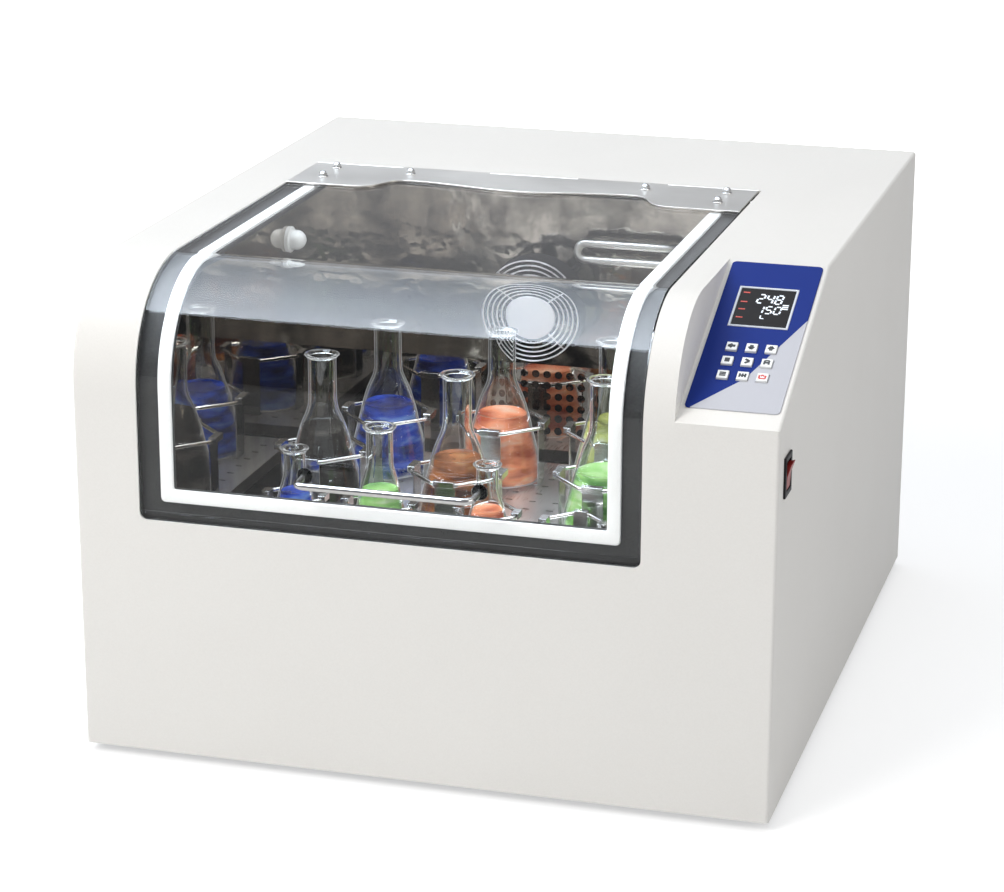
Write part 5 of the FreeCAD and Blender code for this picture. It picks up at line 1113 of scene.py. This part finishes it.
# %% [markdown]
# ## Flasks and what they hold
# A conical flask is turned from one closed profile: out along the base, up the cone, in to
# the neck, out to a beaded lip, and back down the inside. The liquid is a second turned
# solid that stops just short of the glass, with a slightly cupped top.

# %% Flasks
FLASKS = {
    "large": dict(foot=36, height=142, neck=12.5, lip=15.4),
    "middle": dict(foot=26, height=112, neck=11.5, lip=14.4),
    "small": dict(foot=22, height=80, neck=9.5, lip=12.4),
}
GLASS_WALL, GLASS_GAP = 1.6, 0.12
SEAT = 1.7
# The liquids' painted light and shade lies in level streaks of this size and stretch, with the thresholds
# for shade and glints
STREAK_STRETCH, STREAK_SCALE = (1.0, 1.0, 3.6), 26.0
PAINTED_SHADE_BELOW, PAINTED_GLINT_ABOVE = 0.38, 0.56


def smooth_profile(points, per_span=5):
    """A Catmull-Rom curve through (radius, height) points."""
    result = []
    for i in range(len(points) - 1):
        quad = points[max(i - 1, 0)], points[i], points[i + 1], points[min(i + 2, len(points) - 1)]
        for k in range(per_span):
            t = k / per_span
            result.append(tuple(0.5 * (2 * b + (c - a) * t + (2 * a - 5 * b + 4 * c - d) * t * t
                                       + (3 * b - a - 3 * c + d) * t ** 3) for a, b, c, d in zip(*quad)))
    result.append(points[-1])
    return result


def flask_side(kind):
    """The outside of a flask from its base up to its lip."""
    f = FLASKS[kind]
    foot, height, neck, lip = f["foot"], f["height"], f["neck"], f["lip"]
    shoulder = 0.66 * height
    return smooth_profile([
        (foot - 4, 0), (foot - 1, 1.2), (foot, 5), (foot - 0.6, 9), (foot * 0.9 + neck * 0.1, 0.17 * height),
        (foot * 0.4 + neck * 0.6, 0.5 * height), (neck + 2.2, shoulder - 4), (neck + 0.3, shoulder + 4),
        (neck, 0.75 * height), (neck, height - 6), (neck + 0.6, height - 3.5), (lip - 0.6, height - 1.6),
        (lip, height - 0.9), (lip - 0.3, height - 0.1), (lip - 1.2, height)])


def inner_side(kind):
    """The inside of the same flask: the outside moved in by the glass wall."""
    side = flask_side(kind)
    moved = []
    for i, (r, z) in enumerate(side):
        r0, z0 = side[max(i - 1, 0)]
        r1, z1 = side[min(i + 1, len(side) - 1)]
        dr, dz = r1 - r0, z1 - z0
        size = math.hypot(dr, dz) or 1
        moved.append((r - GLASS_WALL * dz / size, max(z + GLASS_WALL * dr / size, GLASS_WALL)))
    height = FLASKS[kind]["height"]
    return [(r, min(z, height)) for r, z in moved if z < height - 4 and r > 0]


def flask_group(kind, steps=56):
    outside = [(0, 0.8), (FLASKS[kind]["foot"] * 0.6, 0.5)] + flask_side(kind)
    inside = list(reversed(inner_side(kind)))
    neck = FLASKS[kind]["neck"] - GLASS_WALL
    height = FLASKS[kind]["height"]
    lip_turn = [(neck + 1.0, height - 0.6), (neck + 0.2, height - 2.5)]
    return lathe(outside + lip_turn + inside + [(0, 2.6)], steps)


def liquid_group(kind, level, steps=56):
    """The contents up to a level, a hair inside the glass."""
    inside = [(r - GLASS_GAP, z) for r, z in inner_side(kind)]
    side = [(max(r, 0.5), z + GLASS_GAP) for r, z in inside if z + GLASS_GAP < level]
    radius = side[-1][0]
    edge = [(r, z) for r, z in inside if z + GLASS_GAP >= level]
    if edge:
        share = (level - side[-1][1]) / max(edge[0][1] - side[-1][1], 0.01)
        radius += (edge[0][0] - radius) * share
    cup = [(radius, level), (radius - 0.8, level - 0.7), (radius * 0.6, level - 0.9), (0, level - 0.9)]
    return lathe([(0, side[0][1])] + side + cup, steps)


def liquid_material(name, pale, color, deep, clearness):
    """Coloured water, with the light and shade that the glass bends into it painted on as soft level
    streaks: pale painted glints and deep painted shade.
    """
    material, tree, shader = new_material(name, color, 0.03, IOR=1.33, Transmission_Weight=clearness)
    let_shadows_through(tree, shader, 0.6)
    place = add_node(tree, "ShaderNodeMapping", {"Scale": STREAK_STRETCH, "Vector": object_place(tree)})
    streaks = noise(tree, place.outputs[0], STREAK_SCALE, 2.0, 0.45)
    # Low in the streak noise the colour falls to the painted shade, and high in it a painted glint is laid
    # on
    unshaded_share = maths(tree, "MULTIPLY", maths(tree, "SUBTRACT", streaks, PAINTED_SHADE_BELOW), 6.0, clamp=True)
    painted_glint = maths(tree, "MULTIPLY", maths(tree, "SUBTRACT", streaks, PAINTED_GLINT_ABOVE), 8.0, clamp=True)
    base = mix_colors(tree, unshaded_share, deep, color)
    plug(tree, mix_colors(tree, painted_glint, base, pale), shader.inputs["Base Color"])
    add_bump(tree, shader, streaks, 0.35, 0.004)
    return material


# Painted glint colour, main colour, painted shade colour and clearness of each solution
SOLUTIONS = {
    "blue": ((0.2, 0.4, 0.95), (0.02, 0.09, 0.7), (0.004, 0.012, 0.16), 0.35),
    "orange": ((1.0, 0.68, 0.5), (1.0, 0.36, 0.18), (0.5, 0.1, 0.04), 0.25),
    "yellow": ((1.0, 1.0, 0.75), (0.9, 0.9, 0.3), (0.45, 0.47, 0.12), 0.5),
    "green": ((0.8, 0.95, 0.62), (0.44, 0.8, 0.26), (0.1, 0.32, 0.06), 0.4),
    "amber": ((0.8, 0.45, 0.2), (0.5, 0.17, 0.05), (0.12, 0.03, 0.01), 0.45),
    "dark": ((0.2, 0.18, 0.16), (0.05, 0.04, 0.034), (0.008, 0.007, 0.006), 0.6),
}
LIQUIDS = {color: liquid_material(color + "_solution", *values) for color, values in SOLUTIONS.items()}
CONTENTS = [
    ("large", LARGE[0], "blue", 64), ("large", LARGE[1], "orange", 62), ("large", LARGE[2], "yellow", 66),
    ("large", LARGE[3], "dark", 78), ("large", LARGE[4], "amber", 68), ("large", LARGE[5], "green", 60),
    ("middle", MIDDLE[0], "green", 57), ("small", SMALL[0], "blue", 42), ("small", SMALL[1], "orange", 40),
]


def place_group(group, x, y):
    verts, faces = group
    return [at(x + v[0], y + v[1], TRAY["top"] + SEAT + v[2]) for v in verts], faces


def make_flasks():
    for number, (kind, place, color, level) in enumerate(CONTENTS, 1):
        x, y = tray_spot(place)
        glass = joined(f"flask_{number}", [place_group(flask_group(kind), x, y)], angle=60)
        node = "flasks_large" if kind == "large" else "flasks_small"
        add_object(f"flask_{number}", glass, GLASS, "platform", (node,))
        fill = joined(f"contents_{number}", [place_group(liquid_group(kind, level), x, y)], angle=40)
        add_object(f"contents_{number}", fill, LIQUIDS[color], "platform")


make_flasks()
print("flasks:", len(CONTENTS))

# %% [markdown]
# ## Fan, heating tube and lamp
# The guard is five wire rings round a plain disc on two crossed wires. Its rings follow a
# rule, so Geometry Nodes make them: each of five points carries a circle, and its radius
# is one step less than the one before.

# %% Fan guard
FAN_X, FAN_Z, GUARD_Y, GUARD_RADIUS, DISC_RADIUS = 290, 308, 386, 46.5, 24
GUARD_RINGS, GUARD_STEP, GUARD_WIRE = 5, 4.5, 0.8


def rings_tree(material):
    tree, given, out = geometry_tree("guard_rings", [
        ("Rings", "Int", 5), ("Outer Radius", "Float", 0.0465),
        ("Step", "Float", 0.0045), ("Wire", "Float", 0.0008)])
    line = add_node(tree, "GeometryNodeMeshLine", {"Count": given["Rings"], "Offset": (0, 0, 0)})
    circle = add_node(tree, "GeometryNodeCurvePrimitiveCircle", {"Resolution": 72, "Radius": 1.0})
    index = add_node(tree, "GeometryNodeInputIndex").outputs[0]
    radius = maths(tree, "SUBTRACT", given["Outer Radius"], maths(tree, "MULTIPLY", index, given["Step"]))
    rings = on_points(tree, line.outputs[0], circle.outputs[0], radius)
    section = add_node(tree, "GeometryNodeCurvePrimitiveCircle", {"Resolution": 8, "Radius": given["Wire"]})
    sweep = add_node(tree, "GeometryNodeCurveToMesh", {"Curve": rings, "Profile Curve": section.outputs[0]})
    end_tree(tree, sweep.outputs[0], material, out)
    return tree


def fan_guard():
    mesh = bake_tree("guard_rings", rings_tree(GUARD_STEEL), {
        "Rings": GUARD_RINGS, "Outer Radius": (GUARD_RADIUS - GUARD_WIRE) * MM, "Step": GUARD_STEP * MM,
        "Wire": GUARD_WIRE * MM})
    stand = Matrix.Translation(at(FAN_X, GUARD_Y + GUARD_WIRE, FAN_Z)) @ UPRIGHT
    mesh.transform(stand)
    middle = at(FAN_X, GUARD_Y + 2.2, FAN_Z)
    groups = []
    for turn in (math.pi / 4, 3 * math.pi / 4):
        way = Vector((math.cos(turn), 0, math.sin(turn))) * (GUARD_RADIUS - 1) * MM
        groups.append(rod([middle - way, middle + way], GUARD_WIRE * MM, 8))
    verts, faces = lathe([(0, -0.4), (DISC_RADIUS - 4, -0.4), (DISC_RADIUS - 0.6, 0), (DISC_RADIUS, 0.7),
                          (DISC_RADIUS - 0.5, 1.4), (0, 1.4)], 64)
    groups.append(([stand @ Vector((x * MM, y * MM, -z * MM)) for x, y, z in verts], faces))
    take_in(mesh, joined("guard_disc", groups))
    add_object("fan_guard_wire", mesh, GUARD_STEEL, "cabinet", ("fan_guard",))


fan_guard()

# %% Heating tube and lamp
TUBE = dict(left=335, right=424, high=367, low=351, y=416, back=438, bend=12, radius=4)
LAMP_FOOT, LAMP_RADIUS, LAMP_NECK = (84, 300, 380), 9, 8


def tube_path():
    t = TUBE
    bend, half = t["bend"], (t["high"] - t["low"]) / 2
    x, y = t["right"] - bend, t["y"] + bend
    return [at(t["right"], t["back"], t["high"]),
            *turn_points((x, y, t["high"]), (bend, 0, 0), (0, -bend, 0)),
            *turn_points((t["left"], t["y"], t["low"] + half), (0, 0, half), (-half, 0, 0), 14, math.pi),
            *turn_points((x, y, t["low"]), (0, -bend, 0), (bend, 0, 0)),
            at(t["right"], t["back"], t["low"])]


add_rod("heating_tube_bent", tube_path(), TUBE["radius"], TUBE_STEEL, "cabinet", "heating_tube")

dome = arc(0, LAMP_NECK, LAMP_RADIUS, 0, 90, 8)[:-1]
lamp_verts, lamp_faces = lathe([(0, 0), (12, 0), (12, 3.2), (11, 4), (9.2, 4), (LAMP_RADIUS, 4.6), *dome,
                                (0, LAMP_NECK + LAMP_RADIUS)], 40)
turned = [at(LAMP_FOOT[0] + z, LAMP_FOOT[1] + x, LAMP_FOOT[2] + y) for x, y, z in lamp_verts]
lamp_mesh = mesh_from("chamber_lamp_dome", turned, lamp_faces, angle=35)
add_object("chamber_lamp_dome", lamp_mesh, LAMP_WHITE, "cabinet", ("chamber_lamp",))
print("fan, tube and lamp made")

# %% [markdown]
# ## Console
# The overlay is a printed film: deep blue, with a pale grey field at the lower right. One
# sheet carries both, and its material chooses by two straight edges across the sloped
# face. The border is worked out from object coordinates, so it stays with the piece.

# %% Overlay
BLUE, PALE = (0.008, 0.027, 0.205), (0.54, 0.55, 0.6)
FIELD_EDGE = [(595.5, 141), (559.5, 60), (524.6, 21)]


def overlay_material():
    material, tree, shader = new_material("printed_overlay", BLUE, 0.5, Specular_IOR_Level=0.06)
    measured = zip(object_axes(tree), on_slope(0, 0, 0))
    across, y, z = (maths(tree, "SUBTRACT", axis, start) for axis, start in measured)
    along = maths(tree, "ADD", maths(tree, "MULTIPLY", y, math.cos(SLOPE)),
                  maths(tree, "MULTIPLY", z, math.sin(SLOPE)))
    sides = []
    for (x1, s1), (x2, s2) in zip(FIELD_EDGE, FIELD_EDGE[1:]):
        dx, ds = (x2 - x1) * MM, (s2 - s1) * MM
        size = math.hypot(dx, ds)
        a = maths(tree, "MULTIPLY", maths(tree, "SUBTRACT", across, x1 * MM), -ds / size)
        b = maths(tree, "MULTIPLY", maths(tree, "SUBTRACT", along, s1 * MM), dx / size)
        sides.append(maths(tree, "ADD", a, b))
    inside = maths(tree, "GREATER_THAN", maths(tree, "MAXIMUM", *sides), 0.0)
    grain = use_group(tree, GRAIN, Scale=1800.0, Light=(1, 1, 1), Dark=(0.93, 0.93, 0.93))
    inks = mix_colors(tree, inside, BLUE, PALE)
    plug(tree, mix_colors(tree, 1.0, inks, grain["Color"], "MULTIPLY"), shader.inputs["Base Color"])
    add_bump(tree, shader, grain["Height"], 0.06, 0.0001)
    return material


dressed("control_overlay", overlay_material(), 0.3)
DISPLAY_GREY = grained("display_frame_grey", (0.62, 0.65, 0.7), (0.56, 0.59, 0.64), 0.3, 1500.0, 0.06)
dressed("display_frame", DISPLAY_GREY, 0.5)
SCREEN = grained("dark_display_window", (0.012, 0.01, 0.01), (0.006, 0.005, 0.006), 0.2, 60.0, 0.02,
                 Specular_IOR_Level=0.08)
dressed("display_screen", SCREEN, 0.3)

# %% [markdown]
# The display shows two plain numbers. Each digit is drawn from seven bars, as on a real
# segment display, and lies a hair above the window. A bar's four corners come from the
# digit's slanted box.

# %% Digits
SEGMENTS = {"a": ((0, 2), (1, 2)), "b": ((1, 2), (1, 1)), "c": ((1, 1), (1, 0)), "d": ((0, 0), (1, 0)),
            "e": ((0, 1), (0, 0)), "f": ((0, 2), (0, 1)), "g": ((0, 1), (1, 1))}
LIT = {"0": "abcdef", "1": "bc", "2": "abged", "4": "fgbc", "5": "afgcd", "8": "abcdefg"}
PRINT_LEVEL = 1.22


def bar(x1, s1, x2, s2, half, n=PRINT_LEVEL, thick=0.12):
    """A flat bar on the slope between two places, a little raised."""
    length = math.hypot(x2 - x1, s2 - s1)
    ux, us = (x2 - x1) / length * half, (s2 - s1) / length * half
    corners = [(x1 - us, s1 + ux), (x1 + us, s1 - ux), (x2 + us, s2 - ux), (x2 - us, s2 + ux)]
    verts = [on_slope(x, s, level) for level in (n, n + thick) for x, s in corners]
    return verts, [(0, 3, 2, 1), *BOX_FACES[1:]]


def number(text, x, s, width, height, pitch, half, slant=0.12):
    """The lit bars of a number whose first digit stands at x, s."""
    bars = []
    for i, digit in enumerate(text):
        for name in LIT[digit]:
            (xa, sa), (xb, sb) = ((x + i * pitch + u * width + slant * v / 2 * height, s + v / 2 * height)
                                  for u, v in SEGMENTS[name])
            trim = half * 1.1 / math.hypot(xb - xa, sb - sa)
            dx, ds = (xb - xa) * trim, (sb - sa) * trim
            bars.append(bar(xa + dx, sa + ds, xb - dx, sb - ds, half))
    return bars


DIGIT, tree, shader = new_material("lit_digits", (0.85, 0.92, 1.0), 0.4)
glow = mix_colors(tree, noise(tree, object_place(tree), 900.0), (0.7, 0.78, 0.9), (0.9, 0.95, 1.0))
set_shader(tree, shader, Base_Color=glow, Emission_Color=glow, Emission_Strength=0.35)
MARK_RED = grained("red_display_marks", (0.7, 0.06, 0.03), (0.6, 0.05, 0.03), 0.5, 900.0, 0.02)
digits = number("248", 549, 159.5, 5, 11.5, 7.6, 0.75) + number("150", 551, 146, 5, 9.5, 7.2, 0.7)
digits.append(bar(563.6, 160, 564.4, 160, 0.4))
red_marks = [bar(536, s, 541.5, s, 0.7) for s in (172.5, 160, 150, 139)]
small_marks = [bar(571.5, s, 576.5, s, 0.7) for s in (158.5, 156, 153.5)]
small_marks += [bar(556, 139, 556, 143, 0.5), bar(556.5, 139, 559, 139, 0.5)]
for name, groups, material in (("display_digits", digits, DIGIT), ("display_marks", red_marks, MARK_RED),
                               ("display_small_marks", small_marks, DIGIT)):
    add_object(name, joined(name, groups), material, "cabinet")
print("display bars:", len(digits) + len(red_marks) + len(small_marks))

# %% [markdown]
# Nine keys stand in a square. Each cap is a small moulded block with soft edges, and its
# mark is a thin raised print: arrows, a square and other plain signs. A cap and its mark
# ride on that key's own body, so they go in together.

# %% Keys
KEY_X, KEY_S, KEY_TOP = (541.1, 557.3, 573.4), (98.7, 80.3, 61.9), 3
MARK_SIZE, MARK_WEIGHT, MARK_THICK = 1.15, 1.6, 0.08
INK = grained("black_ink", (0.02, 0.02, 0.022), (0.012, 0.012, 0.013), 0.5, 900.0, 0.02)
INK_RED = grained("red_ink", (0.6, 0.04, 0.03), (0.5, 0.03, 0.02), 0.5, 900.0, 0.02)
# Each mark is strokes about the middle of its cap: (x1, s1, x2, s2, half width)
MARKS_ON_KEYS = [
    [(-2.6, 0, 0.2, 2.0, 0.6), (-2.6, 0, 0.2, -2.0, 0.6), (-1.8, 0, 2.6, 0, 0.9)],
    [(0, -2.4, -2.0, 0.4, 0.6), (0, -2.4, 2.0, 0.4, 0.6), (0, -1.6, 0, 2.4, 0.9)],
    [(0, 2.4, -2.0, -0.4, 0.6), (0, 2.4, 2.0, -0.4, 0.6), (0, 1.6, 0, -2.4, 0.9)],
    [(-1.8, 0, 1.8, 0, 1.6)],
    [(-1.4, -2.2, 1.8, 0, 0.7), (-1.4, 2.2, 1.8, 0, 0.7)],
    [(-1.6, -2.2, -1.6, 2.2, 0.5), (-1.6, 2.2, 1.6, 2.2, 0.5), (1.6, 2.2, 1.6, -2.2, 0.5),
     (0, -1, 0, 1, 0.7)],
    [(-2.2, 1.6, 2.2, 1.6, 0.45), (-2.2, 0, 2.2, 0, 0.45), (-2.2, -1.6, 2.2, -1.6, 0.45)],
    [(-2, -2, -2, 2, 0.5), (2, -2, 2, 2, 0.5), (-2, 0, 2, 0, 0.5), (0, -2, 0, 2, 0.5)],
    [(-2.2, -1.8, -2.2, 1.6, 0.45), (2.2, -1.8, 2.2, 1.6, 0.45), (-2.2, -1.8, 2.2, -1.8, 0.45),
     (-1.2, 0.6, 0, 2.2, 0.45), (1.2, 0.6, 0, 2.2, 0.45)],
]


def key_mark(place, strokes):
    """A key's strokes, made a little larger and bolder, at the middle of its cap."""
    bars = []
    for *ends, half in strokes:
        ends = [place[i % 2] + value * MARK_SIZE for i, value in enumerate(ends)]
        bars.append(bar(*ends, half * MARK_WEIGHT, KEY_TOP + 0.01, MARK_THICK))
    return bars


for number_of_key, strokes in enumerate(MARKS_ON_KEYS, 1):
    line, column = divmod(number_of_key - 1, 3)
    dressed(f"key_{number_of_key}", KEY_WHITE, 0.5, 3)
    mark = joined(f"key_mark_{number_of_key}", key_mark((KEY_X[column], KEY_S[line]), strokes))
    add_object(f"key_mark_{number_of_key}", mark, INK_RED if number_of_key == 9 else INK,
               f"key_body_{number_of_key}")
print("keys:", len(MARKS_ON_KEYS))

# %% [markdown]
# ## Rocker switch
# The red rocker rests with its upper end out. Its drawn shape is right, so it only needs a
# soft edge and a glossy moulded finish.

# %% Rocker
dressed("rocker_button", SWITCH_RED, 0.8, 3)
